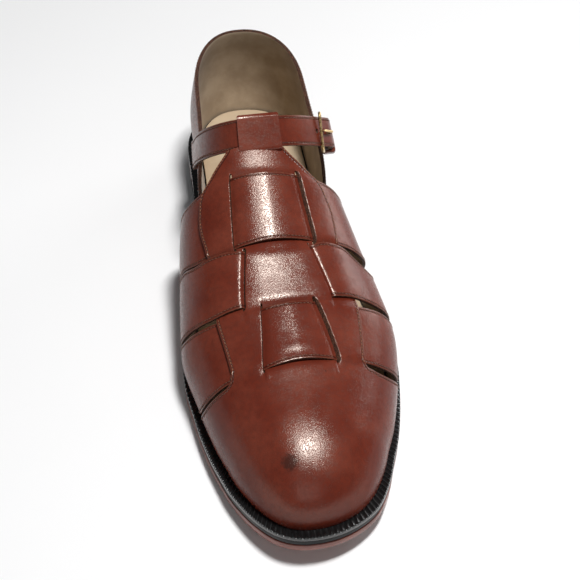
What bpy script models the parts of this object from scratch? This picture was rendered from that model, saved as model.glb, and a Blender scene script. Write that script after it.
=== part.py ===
"""Fisherman sandal, left foot: closed toe, woven straps, heel counter and ankle strap.

World frame: metres, +Z up, toe at -Y, heel at +Y, sole standing on Z = 0.
Inside the functions a place is given by its station, the distance back from the toe tip of the welt.
"""
import math

import bmesh
import bpy
import numpy as np

MM = 0.001

# Whole shoe
LENGTH = 300.0 * MM
TIP_OFFSET = -3.0 * MM
FIT_GAP = 0.12 * MM
SIDE_SHIFT = 1.88 * MM

# Sole layers, thickness from the top down
WELT_THICK = 3.0 * MM
MIDSOLE_THICK = 3.2 * MM
OUTSOLE_THICK = 4.3 * MM
SOLE_THICK = WELT_THICK + MIDSOLE_THICK + OUTSOLE_THICK
MIDSOLE_INSET = 0.5 * MM
OUTSOLE_INSET = 0.2 * MM
INSOLE_STAND = 2.0 * MM
INSOLE_GAP = 0.45 * MM

# Sole line from the side
TOE_SPRING = 10.0 * MM
SPRING_STATION = 85.0 * MM
HEEL_RISE = 14.0 * MM
RISE_START = 118.0 * MM
RISE_END = 222.0 * MM

# Heel
BREAST_STATION = 224.0 * MM
TOP_LIFT_THICK = 5.0 * MM
HEEL_INSET = 0.9 * MM
TOP_LIFT_INSET = 1.4 * MM

# Welt edge: station, reach to the lateral side, reach to the medial side
WELT_EDGE = np.array([
    (0, 34.5, 29.5), (12, 38.0, 29.8), (25, 39.4, 32.2), (40, 43.0, 36.6), (55, 48.2, 41.0),
    (70, 52.0, 44.3), (85, 54.8, 46.6), (105, 57.2, 49.0), (130, 55.4, 47.6), (155, 49.8, 43.0),
    (180, 43.9, 38.0), (205, 40.2, 33.8), (235, 38.6, 32.0), (262, 37.8, 32.0), (300, 36.5, 31.5),
]) * MM
TOE_RADIUS = 40.0 * MM
TOE_POWER = 2.2
HEEL_RADIUS = 42.0 * MM
HEEL_POWER = 2.3
WELT_SHOWN = 4.8 * MM
UPPER_SEAT = 2.2 * MM

# Last over the sole: station, crown height over the level feather line
CROWN = np.array([
    (0, 31), (15, 33), (30, 36), (45, 39), (60, 42), (80, 46.5), (100, 52), (120, 59), (140, 67.5),
    (160, 78), (180, 91), (200, 107),
]) * MM
# Station, sideways place of the crown
RIDGE = np.array([(0, -3), (40, -4), (80, -6), (120, -8), (160, -8), (200, -6)]) * MM
# Station, swell of the wall past the feather line on the medial and the lateral side
SWELL = np.array([
    (0, 0.8, 0.8), (30, 1.2, 1.4), (60, 1.8, 2.3), (90, 3.2, 3.3), (110, 4.9, 3.3), (130, 5.3, 2.0),
    (150, 7.1, 1.6), (175, 9.3, 1.5), (200, 8.2, 1.5),
]) * MM
# Station, height of the widest line over the feather line
BELLY = np.array([(0, 3.0), (30, 5.0), (60, 7.0), (90, 8.5), (120, 11), (160, 15), (200, 17)]) * MM
# Station, power of the arch over the foot
ARCH_POWER = np.array([(0.0, 2.25), (40.0, 2.2), (90.0, 2.15), (140.0, 2.1), (200.0, 2.2)]) * (MM, 1.0)
CROWN_RADIUS = 46.0 * MM
CROWN_POWER = 2.35

# Leather
VAMP_WALL = 2.0 * MM
STRAP_WALL = 1.9 * MM
WEAVE_OVER = 1.3 * MM
WEAVE_UNDER = -1.25 * MM

# Rear edge of the vamp: girth share from -1 medial to +1 lateral, station
VAMP_REAR = np.array([
    (-1.0, 82.0), (-0.93, 79.0), (-0.80, 74.2), (-0.655, 71.2), (-0.56, 70.3), (-0.48, 70.6),
    (-0.445, 72.5), (-0.425, 75.5), (0.425, 75.5), (0.445, 73.5), (0.505, 72.2), (0.63, 72.8),
    (0.74, 75.7), (0.85, 80.4), (1.0, 85.0),
]) * (1.0, MM)
# Side edge of the panel that runs up the instep: station, girth share
PANEL_EDGE = np.array([
    (75.5, 0.425), (90.0, 0.418), (104.0, 0.408), (120.0, 0.388), (135.0, 0.368), (157.0, 0.364),
    (165.0, 0.318), (170.0, 0.235), (175.0, 0.150), (190.0, 0.120),
]) * (MM, 1.0)

# Straps, each edge as girth share and station
STRAP_A_FRONT = np.array([
    (-1.0, 83.8), (-0.925, 80.4), (-0.80, 75.8), (-0.635, 72.7), (-0.49, 71.8), (-0.215, 71.2),
    (0.0, 73.1), (0.23, 73.6), (0.45, 75.2), (0.595, 76.2), (0.72, 78.7), (0.84, 82.4),
    (1.0, 88.8),
]) * (1.0, MM)
STRAP_A_REAR = np.array([
    (-1.0, 122.5), (-0.82, 115.6), (-0.68, 109.5), (-0.555, 105.6), (-0.425, 102.9), (-0.14, 101.7),
    (0.14, 103.4), (0.30, 103.6), (0.415, 104.9), (0.56, 107.0), (0.77, 111.5), (1.0, 118.5),
]) * (1.0, MM)
STRAP_B_FRONT = np.array([
    (-1.0, 125.0), (-0.805, 116.8), (-0.68, 111.5), (-0.55, 107.4), (-0.415, 104.2), (-0.255, 103.5),
    (0.255, 106.2), (0.39, 107.9), (0.535, 109.3), (0.745, 113.7), (1.0, 121.5),
]) * (1.0, MM)
STRAP_B_REAR = np.array([
    (-1.0, 161.2), (-0.80, 152.3), (-0.595, 143.6), (-0.47, 136.9), (-0.36, 134.0), (-0.25, 131.9),
    (-0.165, 130.0), (0.18, 131.0), (0.245, 133.5), (0.325, 134.6), (0.39, 134.5), (0.48, 132.4),
    (0.60, 132.6), (0.70, 136.5), (0.80, 141.0), (1.0, 148.0),
]) * (1.0, MM)
STRAP_C_FRONT = np.array([
    (-1.0, 162.5), (-0.80, 153.5), (-0.605, 144.9), (-0.465, 138.0), (-0.37, 135.4), (-0.20, 132.5),
    (0.0, 133.4), (0.20, 134.2), (0.335, 136.0), (0.45, 138.0), (0.60, 140.6), (0.70, 144.6),
    (0.80, 149.0), (1.0, 156.5),
]) * (1.0, MM)
STRAP_C_REAR = np.array([
    (-1.0, 196.0), (-0.80, 186.5), (-0.60, 176.5), (-0.40, 169.0), (-0.20, 165.0), (0.0, 164.0),
    (0.20, 165.0), (0.40, 169.0), (0.60, 174.5), (0.80, 181.5), (1.0, 190.0),
]) * (1.0, MM)
# Slits of each strap: girth share at the front and at the rear edge, medial then lateral
STRAP_A_SLITS = ((-0.222, -0.145), (0.240, 0.148))
STRAP_B_SLITS = ((-0.240, -0.165), (0.255, 0.180))
STRAP_C_SLITS = ((-0.205, -0.142), (0.212, 0.190))
SLIT_STEP = 0.006
# Girth shares beside the panel where a strap starts to ease, and where it lies on the last
STRAP_A_EASE = 0.47
STRAP_B_EASE = 0.435
STRAP_C_EASE = 0.435
STRAP_FLAT = 0.72

# Heel counter: stations of its front edge at the foot and at the top, heights over the feather line
COUNTER_FOOT = 201.0 * MM
COUNTER_HEAD = 216.0 * MM
COUNTER_WALL = 2.2 * MM
COUNTER_HIGH = 58.0 * MM
COUNTER_LOW = 41.0 * MM
# Height over the feather line, swell at the back, swell at the sides
COUNTER_FORM = np.array([
    (0, 0.0, 0.0), (6, 1.2, 1.0), (14, 2.3, 1.9), (24, 2.6, 2.0), (36, 1.4, 0.8), (48, -0.8, -1.4),
    (60, -3.2, -4.2), (80, -7.0, -9.0),
]) * MM

# Ankle strap, carried by a tilted hoop over the instep
HOOP_BASE = (222.0 * MM, 58.0 * MM)
HOOP_CROWN = (181.0 * MM, 101.5 * MM)
HOOP_POWER = 2.25
HOOP_CENTRE = -4.0 * MM
# Length down the counter for each step of place past 1, as a share of the hoop's height
HOOP_FALL = 1.25
ANKLE_WIDTH = 15.0 * MM
ANKLE_WALL = 1.9 * MM
ANKLE_GAP = 0.25 * MM
ANKLE_TIP = 1.12
ANKLE_END = -1.24
# Place along the hoop, lift of the strap's inner face
ANKLE_LIFT = np.array([
    (-2.0, 0.0), (0.26, 0.0), (0.30, 0.0), (0.45, 0.3 * MM), (0.56, 1.1 * MM), (0.64, 2.8 * MM),
    (0.67, 3.7 * MM), (0.70, 4.1 * MM), (0.735, 3.95 * MM), (0.765, 2.7 * MM), (0.79, 2.25 * MM),
    (0.84, 2.25 * MM), (2.0, 2.25 * MM),
])
LOOP_HALF = 0.155
LOOP_WALL = 1.6 * MM
LOOP_FREE = 0.2 * MM
# Stations between which the panel meets the loop
MEETING_RANGE = (160.0 * MM, 190.0 * MM)

# Buckle
REAR_BAR = (0.70, 1.35 * MM)
FREE_BAR = (0.555, 4.2 * MM)
WIRE = 0.8 * MM
FRAME_HALF = 9.2 * MM
FRAME_CORNER = 2.2 * MM
EYE_RADIUS = 2.0 * MM
EYE_BORE = 0.95 * MM
TAB_HALF = 6.4 * MM
TAB_SLOT = 1.6 * MM
TAB_PLACES = (0.712, 1.24)
SLOT_SPAN = 0.05
PRONG = 0.65 * MM
# Places of the bent prong ahead of and above the rear bar
PRONG_RISE = (2.3 * MM, 4.9 * MM)
PRONG_PEAK = (3.6 * MM, 5.3 * MM)
PRONG_REST = 0.05 * MM
PRONG_TIP = 1.4 * MM
PRONG_HOLE = (0.635, 0.70)
PRONG_HOLE_HALF = 1.2 * MM
CUT_DEPTH = 6.0 * MM
KEEPER_PLACE = 0.85
KEEPER_WIDTH = 7.0 * MM
KEEPER_WALL = 1.4 * MM
KEEPER_FREE = 0.15 * MM
# Lift of the strap where it lies on the tab
TAB_LIFT = 2.25 * MM

MATERIALS = {
    "brown_leather": ((0.105, 0.024, 0.012), 0.36, 0.0),
    "lining_leather": ((0.560, 0.430, 0.290), 0.60, 0.0),
    "black_rubber": ((0.012, 0.012, 0.013), 0.34, 0.0),
    "brown_sole": ((0.110, 0.036, 0.022), 0.42, 0.0),
    "brass": ((0.560, 0.380, 0.160), 0.28, 1.0),
}


# Curves and outlines

def through(table, places, column=1):
    """Smooth curve through a table's rows, read at the given places."""
    x, y = table[:, 0], table[:, column]
    places = np.clip(np.asarray(places, float), x[0], x[-1])
    step = np.diff(x)
    slope = np.diff(y) / step
    ends = np.empty_like(y)
    ends[0], ends[-1] = slope[0], slope[-1]
    ends[1:-1] = (slope[:-1] * step[1:] + slope[1:] * step[:-1]) / (step[:-1] + step[1:])
    i = np.clip(np.searchsorted(x, places) - 1, 0, len(x) - 2)
    h = step[i]
    t = (places - x[i]) / h
    return ((1 + 2 * t) * (1 - t) ** 2 * y[i] + t * (1 - t) ** 2 * h * ends[i]
            + t * t * (3 - 2 * t) * y[i + 1] + t * t * (t - 1) * h * ends[i + 1])


def closing(depth, radius, power):
    """Share of the full reach at a depth behind an end, nought at the end itself."""
    t = np.clip(1.0 - np.asarray(depth, float) / radius, 0.0, 1.0)
    return (1.0 - t ** power) ** (1.0 / power)


def reaches(station, inset=0.0):
    """Sideways places of the lateral and medial outline, drawn in by an inset."""
    station = np.asarray(station, float)
    share = (closing(station - inset, TOE_RADIUS - inset, TOE_POWER)
             * closing(LENGTH - inset - station, HEEL_RADIUS - inset, HEEL_POWER))
    middle = TIP_OFFSET * (1.0 - station / LENGTH)
    lateral = middle + share * (through(WELT_EDGE, station, 1) - inset)
    medial = middle - share * (through(WELT_EDGE, station, 2) - inset)
    return lateral, medial


def spring(station):
    """Lift of the sole at the toe."""
    return TOE_SPRING * np.clip((SPRING_STATION - station) / SPRING_STATION, 0.0, 1.0) ** 2


def rise(station):
    """Lift of the sole from the ball back to the heel seat."""
    t = np.clip((station - RISE_START) / (RISE_END - RISE_START), 0.0, 1.0)
    return HEEL_RISE * t * t * (3.0 - 2.0 * t)


def feather_height(station):
    """Height of the welt's top face."""
    return SOLE_THICK + spring(station) + rise(station)


def stations(start, end, count, lead=1.0):
    """Stations between two ends, closer together towards both."""
    t = 0.5 - 0.5 * np.cos(np.linspace(0.0, math.pi, count))
    even = np.linspace(0.0, 1.0, count)
    return start + (end - start) * (lead * t + (1.0 - lead) * even)


# Last surface

def sections(station, count=81):
    """Cross-sections of the upper's outside, from the medial over to the lateral feather line."""
    station = np.atleast_1d(np.asarray(station, float))
    depth = station - WELT_SHOWN
    shut = closing(depth, CROWN_RADIUS, CROWN_POWER)
    lateral, medial = reaches(station, WELT_SHOWN)
    foot = feather_height(station)
    crown = shut * through(CROWN, station) - rise(station)
    belly = shut * through(BELLY, station)
    swell_m = shut * through(SWELL, station, 1)
    swell_l = shut * through(SWELL, station, 2)
    ridge = np.clip(through(RIDGE, station), medial, lateral)
    power = (2.0 / through(ARCH_POWER, station))[:, None]
    angle = np.linspace(0.0, math.pi, count)
    cosine, sine = np.cos(angle), np.sin(angle)
    half_m = (ridge - medial + swell_m)[:, None]
    half_l = (lateral + swell_l - ridge)[:, None]
    bow = np.abs(cosine) ** power
    arch_x = ridge[:, None] + np.where(cosine > 0.0, -half_m * bow, half_l * bow)
    arch_z = (foot + belly)[:, None] + (crown - belly)[:, None] * np.abs(sine) ** power
    down = np.linspace(1.0, 0.0, 9)[:-1]
    low_z = foot[:, None] + belly[:, None] * (1.0 - down)
    medial_x = (medial - swell_m)[:, None] + swell_m[:, None] * down ** 2
    lateral_x = (lateral + swell_l)[:, None] - swell_l[:, None] * down ** 2
    x = np.concatenate([medial_x, arch_x, lateral_x[:, ::-1]], 1)
    z = np.concatenate([low_z, arch_z, low_z[:, ::-1]], 1)
    y = np.repeat(station[:, None], x.shape[1], 1)
    return np.stack([x, y, z], -1)


def skin(station, girth):
    """Points of the upper's outside at stations and girth shares, both arrays alike."""
    station, girth = np.broadcast_arrays(np.asarray(station, float), np.asarray(girth, float))
    lines = sections(station.ravel())
    run = np.linalg.norm(np.diff(lines, axis=1), axis=2)
    along = np.concatenate([np.zeros((len(run), 1)), np.cumsum(run, 1)], 1)
    goal = (girth.ravel() + 1.0) / 2.0 * along[:, -1]
    row = np.arange(len(goal))
    i = np.clip((along < goal[:, None]).sum(1) - 1, 0, along.shape[1] - 2)
    t = ((goal - along[row, i]) / (along[row, i + 1] - along[row, i]))[:, None]
    points = lines[row, i] * (1.0 - t) + lines[row, i + 1] * t
    return points.reshape(station.shape + (3,))


def skin_normals(station, girth):
    """Outward directions of the upper's outside, level along the feather line."""
    before = np.maximum(station - 0.1 * MM, WELT_SHOWN + 0.05 * MM)
    ahead = skin(station + 0.1 * MM, girth) - skin(before, girth)
    across = skin(station, np.minimum(girth + 0.004, 1.0)) - skin(station, np.maximum(girth - 0.004, -1.0))
    normal = np.cross(across, ahead)
    normal[..., 2] *= np.where(np.abs(girth) > 0.9999, 0.0, 1.0)
    return normal / np.linalg.norm(normal, axis=-1, keepdims=True)


def to_world(points):
    """Turn stations into world places, the middle of the shoe's box on the origin."""
    return np.array(points, float) - (SIDE_SHIFT, LENGTH / 2.0, 0.0)


# Scene helpers

def start_scene():
    """Clear the scene and make the two collections."""
    for thing in list(bpy.data.objects):
        bpy.data.objects.remove(thing, do_unlink=True)
    for old in list(bpy.data.collections):
        bpy.data.collections.remove(old)
    shoe = bpy.data.collections.new("fisherman_sandal")
    tools = bpy.data.collections.new("cutters")
    for group in (shoe, tools):
        bpy.context.scene.collection.children.link(group)
    return shoe, tools


SHOE, CUTTERS = start_scene()


def material(name, finish):
    """One plain material for one part."""
    colour, roughness, metallic = MATERIALS[finish]
    made = bpy.data.materials.new(name)
    made.use_nodes = True
    shader = made.node_tree.nodes["Principled BSDF"]
    shader.inputs["Base Color"].default_value = (*colour, 1.0)
    shader.inputs["Roughness"].default_value = roughness
    shader.inputs["Metallic"].default_value = metallic
    made.diffuse_color = (*colour, 1.0)
    return made


def solid(name, vertices, faces, finish=None):
    """Make an object from vertices and faces, as a part or as a cutter."""
    mesh = bpy.data.meshes.new(name)
    mesh.from_pydata([tuple(p) for p in to_world(vertices)], [], faces)
    skin_mesh = bmesh.new()
    skin_mesh.from_mesh(mesh)
    bmesh.ops.recalc_face_normals(skin_mesh, faces=skin_mesh.faces)
    skin_mesh.to_mesh(mesh)
    skin_mesh.free()
    mesh.update()
    made = bpy.data.objects.new(name, mesh)
    if finish is None:
        CUTTERS.objects.link(made)
        made.hide_render = True
        made.display_type = "WIRE"
    else:
        SHOE.objects.link(made)
        made.data.materials.append(material(name, finish))
        bpy.context.view_layer.objects.active = made
        made.select_set(True)
        bpy.ops.object.shade_smooth_by_angle(angle=math.radians(35))
        made.select_set(False)
    return made


def combine(target, other, operation):
    """Add an exact Boolean with another object."""
    step = target.modifiers.new(other.name, "BOOLEAN")
    step.operation = operation
    step.solver = "EXACT"
    step.object = other


def grid_walls(rows, columns, close_rows=False):
    """Faces of a tube of quads over a grid of vertices, the columns going round."""
    faces = []
    for r in range(rows if close_rows else rows - 1):
        for c in range(columns):
            a, b = r * columns + c, r * columns + (c + 1) % columns
            up = (r + 1) % rows * columns
            faces.append((a, b, up + (c + 1) % columns, up + c))
    return faces


def leather(name, outer, inner, kept=None, nose=False, finish=None):
    """Closed wall between an outer and an inner grid of points, less the cells not kept."""
    rows, columns = outer.shape[:2]
    kept = np.ones((rows - 1, columns - 1), bool) if kept is None else kept
    count = rows * columns
    faces = []
    edges = {}
    for r in range(rows - 1):
        for c in range(columns - 1):
            if not kept[r, c]:
                continue
            ring = (r * columns + c, (r + 1) * columns + c, (r + 1) * columns + c + 1, r * columns + c + 1)
            faces.append(ring)
            faces.append(tuple(count + i for i in reversed(ring)))
            for a, b in zip(ring, ring[1:] + ring[:1]):
                edges[a, b] = True
    points = [*outer.reshape(-1, 3), *inner.reshape(-1, 3)]
    if nose:
        for side, shift in ((outer, 0), (inner, count)):
            points.append((side[0, 0] + side[0, -1]) / 2.0)
            hub = len(points) - 1
            for c in range(columns - 1):
                a, b = shift + c, shift + c + 1
                faces.append((a, b, hub) if shift == 0 else (b, a, hub))
        hub_out, hub_in = len(points) - 2, len(points) - 1
        faces.append((0, hub_out, hub_in, count))
        faces.append((hub_out, columns - 1, count + columns - 1, hub_in))
    for a, b in edges:
        front = nose and a < columns and b < columns
        if (b, a) not in edges and not front:
            faces.append((b, a, count + a, count + b))
    used = sorted({i for face in faces for i in face})
    place = {old: new for new, old in enumerate(used)}
    return solid(name, [points[i] for i in used], [tuple(place[i] for i in f) for f in faces], finish)


# Sole

def plate(name, finish, rows, top, bottom, inset_top, inset_bottom=None):
    """Sole layer between two heights over its stations, with an inset edge at the top and the bottom."""
    inset_bottom = inset_top if inset_bottom is None else inset_bottom
    rings = []
    for s in rows:
        corners = []
        for height, inset in ((top, inset_top), (bottom, inset_bottom)):
            inside = float(np.clip(s, inset + 0.06 * MM, LENGTH - inset - 0.06 * MM))
            lateral, medial = reaches(inside, inset)
            corners.append(((medial, inside, height(inside)), (lateral, inside, height(inside))))
        (top_m, top_l), (low_m, low_l) = corners
        rings += [top_m, top_l, low_l, low_m]
    faces = grid_walls(len(rows), 4)
    last = 4 * (len(rows) - 1)
    faces += [(3, 2, 1, 0), (last, last + 1, last + 2, last + 3)]
    return solid(name, rings, faces, finish)


def outline(inset, count, start=0.0, end=1.0):
    """Even points round the feather side of the sole, from the toe by the lateral side."""
    s = stations(inset + 0.02 * MM, LENGTH - inset - 0.02 * MM, 241)
    lateral, medial = reaches(s, inset)
    loop = np.concatenate([np.stack([lateral, s], 1), np.stack([medial, s], 1)[::-1]])
    loop = np.concatenate([loop, loop[:1]])
    along = np.concatenate([[0.0], np.cumsum(np.linalg.norm(np.diff(loop, axis=0), axis=1))])
    goal = np.linspace(start, end, count, endpoint=end < 1.0) * along[-1]
    return np.stack([np.interp(goal, along, loop[:, k]) for k in (0, 1)], 1)


def welt():
    """Ring that carries the upper's edge."""
    count = 96
    outer, inner = outline(0.0, count), outline(WELT_SHOWN + UPPER_SEAT, count)
    rings = []
    for edge, drop in ((outer, 0.0), (inner, 0.0), (inner, WELT_THICK), (outer, WELT_THICK)):
        rings.append(np.column_stack([edge, feather_height(edge[:, 1]) - drop]))
    points = np.stack(rings, 1).reshape(-1, 3)
    return solid("welt", points, grid_walls(count, 4, close_rows=True), "black_rubber")


def sole():
    """Welt, midsole, outsole, heel and insole."""
    rows = stations(0.0, LENGTH, 61, lead=0.75)
    under_welt = WELT_THICK + FIT_GAP
    under_mid = under_welt + MIDSOLE_THICK
    welt()
    plate("midsole", "black_rubber", rows,
          lambda s: feather_height(s) - under_welt,
          lambda s: feather_height(s) - under_mid, MIDSOLE_INSET)
    plate("outsole", "brown_sole", rows,
          lambda s: feather_height(s) - under_mid - FIT_GAP,
          lambda s: feather_height(s) - SOLE_THICK, OUTSOLE_INSET)
    heel_rows = stations(BREAST_STATION, LENGTH, 25)
    plate("heel_stack", "black_rubber", heel_rows,
          lambda s: HEEL_RISE - FIT_GAP, lambda s: TOP_LIFT_THICK + FIT_GAP, OUTSOLE_INSET, HEEL_INSET)
    plate("top_lift", "black_rubber", heel_rows,
          lambda s: TOP_LIFT_THICK, lambda s: 0.0, HEEL_INSET, TOP_LIFT_INSET)
    insole_edge = WELT_SHOWN + UPPER_SEAT + INSOLE_GAP
    insole_rows = stations(insole_edge, LENGTH - insole_edge, 49, lead=0.75)
    plate("insole", "lining_leather", insole_rows,
          lambda s: feather_height(s) + INSOLE_STAND,
          lambda s: feather_height(s) - WELT_THICK, insole_edge)


# Upper

def wall_points(station, girth, outside, wall):
    """Outer and inner points of a leather wall held off the last surface."""
    base, normal = skin(station, girth), skin_normals(station, girth)
    outside = np.broadcast_to(outside, station.shape)[..., None]
    lift = np.array([0.0, 0.0, FIT_GAP])
    return base + normal * outside + lift, base + normal * (outside - wall) + lift


def vamp():
    """Closed toe with the panel that runs up the instep to the loop."""
    side = np.array([0.93, 0.86, 0.78, 0.70, 0.63, 0.56, 0.505, 0.465, 0.44])
    middle = np.linspace(-1.0, 1.0, 19)
    shares = np.concatenate([[-1.0], -side, 0.425 * middle, side[::-1], [1.0]])
    depths = np.array([0.3, 1.0, 2.2, 4.0, 6.5, 10.0, 14.5, 20.0, 27.0, 35.0, 44.0, 54.0]) * MM
    toe_rows = WELT_SHOWN + depths
    rear = through(VAMP_REAR, shares)
    panel_rows = np.linspace(0.0, 1.0, 19)[1:]
    end = loop_meeting(middle)
    station, girth = [], []
    for s in toe_rows:
        station.append(np.full(len(shares), s))
        girth.append(shares)
    last = toe_rows[-1]
    for f in (0.5, 1.0):
        station.append(last + (rear - last) * f)
        girth.append(shares)
    before = len(side) + 1
    inside = slice(before, before + len(middle))
    for f in panel_rows:
        s = rear.copy()
        s[inside] = rear[inside] + (end - rear[inside]) * f
        q = shares.copy()
        q[inside] = middle * through(PANEL_EDGE, s[inside])
        station.append(s)
        girth.append(q)
    station, girth = np.array(station), np.array(girth)
    kept = np.ones((len(station) - 1, len(shares) - 1), bool)
    first = len(toe_rows) + 1
    kept[first:, :before] = False
    kept[first:, before + len(middle) - 1:] = False
    outer, inner = wall_points(station, girth, 0.0, VAMP_WALL)
    return leather("upper", outer, inner, kept, nose=True, finish="brown_leather")


def strap_columns(slits, ease, over_middle):
    """Girth shares at the front and rear edge and the height of the weave, column by column."""
    (m_front, m_rear), (l_front, l_rear) = slits
    middle, beside = (WEAVE_OVER, WEAVE_UNDER) if over_middle else (WEAVE_UNDER, WEAVE_OVER)
    knots = [
        (-1.0, -1.0, 0.0),
        (-STRAP_FLAT, -STRAP_FLAT, 0.0),
        (-ease, -ease, beside * 0.85),
        (m_front - SLIT_STEP, m_rear - SLIT_STEP, beside),
        (m_front + SLIT_STEP, m_rear + SLIT_STEP, middle),
        (l_front - SLIT_STEP, l_rear - SLIT_STEP, middle),
        (l_front + SLIT_STEP, l_rear + SLIT_STEP, beside),
        (ease, ease, beside * 0.85),
        (STRAP_FLAT, STRAP_FLAT, 0.0),
        (1.0, 1.0, 0.0),
    ]
    counts = (4, 4, 4, 1, 6, 1, 4, 4, 4)
    rows = [knots[0]]
    for before, after, count in zip(knots, knots[1:], counts):
        for k in range(1, count + 1):
            rows.append(tuple(a + (b - a) * k / count for a, b in zip(before, after)))
    return np.array(rows)


def strap(name, front, rear, slits, ease, over_middle):
    """One cross strap of the weave."""
    columns = strap_columns(slits, ease, over_middle)
    station, girth, height = [], [], []
    for f in np.linspace(0.0, 1.0, 5):
        q = columns[:, 0] * (1.0 - f) + columns[:, 1] * f
        station.append(through(front, q) * (1.0 - f) + through(rear, q) * f)
        girth.append(q)
        height.append(columns[:, 2])
    outer, inner = wall_points(np.array(station), np.array(girth), np.array(height), STRAP_WALL)
    return leather(name, outer, inner)


# Ankle strap

HOOP_UP = np.array([0.0, HOOP_CROWN[0] - HOOP_BASE[0], HOOP_CROWN[1] - HOOP_BASE[1]])
HOOP_HIGH = float(np.linalg.norm(HOOP_UP))
HOOP_UP = HOOP_UP / HOOP_HIGH
HOOP_AXIS = np.array([0.0, HOOP_UP[2], -HOOP_UP[1]])
HOOP_FOOT = np.array([HOOP_CENTRE, HOOP_BASE[0], HOOP_BASE[1]])


def counter_reach(station, height, side):
    """Sideways place of the counter's outside, side +1 lateral or -1 medial."""
    lateral, medial = reaches(station, WELT_SHOWN)
    swell = through(COUNTER_FORM, height - feather_height(station), 2)
    return lateral + swell if side > 0 else medial - swell


def hoop(place, across, out):
    """Point on the hoop: place -1 to 1 over the instep and past it down the counter."""
    side = 1.0 if place >= 0.0 else -1.0
    beyond = max(abs(place) - 1.0, 0.0) * HOOP_HIGH * HOOP_FALL
    angle = (1.0 - min(abs(place), 1.0)) * math.pi / 2.0
    foot = HOOP_FOOT + HOOP_AXIS * across - HOOP_UP * beyond
    reach = abs(counter_reach(foot[1], foot[2], side) - HOOP_CENTRE) + ANKLE_GAP
    wide = math.cos(angle) ** (2.0 / HOOP_POWER) if angle < math.pi / 2.0 - 1e-9 else 0.0
    tall = math.sin(angle) ** (2.0 / HOOP_POWER) if angle > 1e-9 else 0.0
    point = foot + HOOP_UP * tall * HOOP_HIGH
    point[0] += side * wide * reach
    if out:
        point = point + hoop_out(place, across) * out
    return point


def hoop_out(place, across):
    """Outward direction of the hoop, square to the strap."""
    step = 0.01
    along = hoop(place + step, across, 0.0) - hoop(place - step, across, 0.0)
    out = np.cross(along, HOOP_AXIS)
    return out / np.linalg.norm(out)


def loop_meeting(middle):
    """Stations where the panel runs into the loop's front wall."""
    goal = -ANKLE_WIDTH / 2.0 - LOOP_FREE - LOOP_WALL * 0.5
    s = np.linspace(*MEETING_RANGE, 61)
    ends = []
    for m in middle:
        points = skin(s, m * through(PANEL_EDGE, s))
        across = (points - HOOP_FOOT) @ HOOP_AXIS
        ends.append(np.interp(goal, across, s))
    return np.array(ends)


def hoop_tube(name, places, profile, finish=None, lift=None):
    """Body swept along the hoop with a profile of across and outward places."""
    points = []
    for p in places:
        raised = 0.0 if lift is None else float(through(ANKLE_LIFT, p))
        points += [hoop(p, v, o + raised) for v, o in profile]
    n = len(profile)
    faces = [tuple(reversed(f)) for f in grid_walls(len(places), n)]
    end = n * (len(places) - 1)
    faces += [tuple(range(n)), tuple(end + i for i in reversed(range(n)))]
    return solid(name, points, faces, finish)


def racetrack(half, low, high):
    """Profile of a flat band with eased corners."""
    ease = min(0.5 * MM, (high - low) * 0.3)
    return [(-half, low + ease), (-half + ease, low), (half - ease, low), (half, low + ease),
            (half, high - ease), (half - ease, high), (-half + ease, high), (-half, high - ease)]


def cut_profile(half):
    """Profile of a slot cut right through the leather."""
    return [(-half, -CUT_DEPTH), (half, -CUT_DEPTH), (half, CUT_DEPTH), (-half, CUT_DEPTH)]


def loop():
    """Loop at the panel's top and its bore."""
    places = np.linspace(-LOOP_HALF, LOOP_HALF, 11)
    bore = np.linspace(-LOOP_HALF * 1.3, LOOP_HALF * 1.3, 13)
    free = ANKLE_WIDTH / 2.0 + LOOP_FREE
    outside = racetrack(free + LOOP_WALL, -LOOP_FREE - LOOP_WALL, ANKLE_WALL + LOOP_FREE + LOOP_WALL)
    shell = hoop_tube("loop_shell", places, outside)
    hole = hoop_tube("loop_bore", bore, racetrack(free, -LOOP_FREE, ANKLE_WALL + LOOP_FREE))
    return shell, hole


def upper():
    """Vamp, straps and loop as one leather body."""
    body = vamp()
    shell, hole = loop()
    combine(body, shell, "UNION")
    combine(body, hole, "DIFFERENCE")
    straps = (
        strap("strap_a", STRAP_A_FRONT, STRAP_A_REAR, STRAP_A_SLITS, STRAP_A_EASE, True),
        strap("strap_b", STRAP_B_FRONT, STRAP_B_REAR, STRAP_B_SLITS, STRAP_B_EASE, False),
        strap("strap_c", STRAP_C_FRONT, STRAP_C_REAR, STRAP_C_SLITS, STRAP_C_EASE, True),
    )
    for band in straps:
        combine(body, band, "UNION")
    return body


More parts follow.
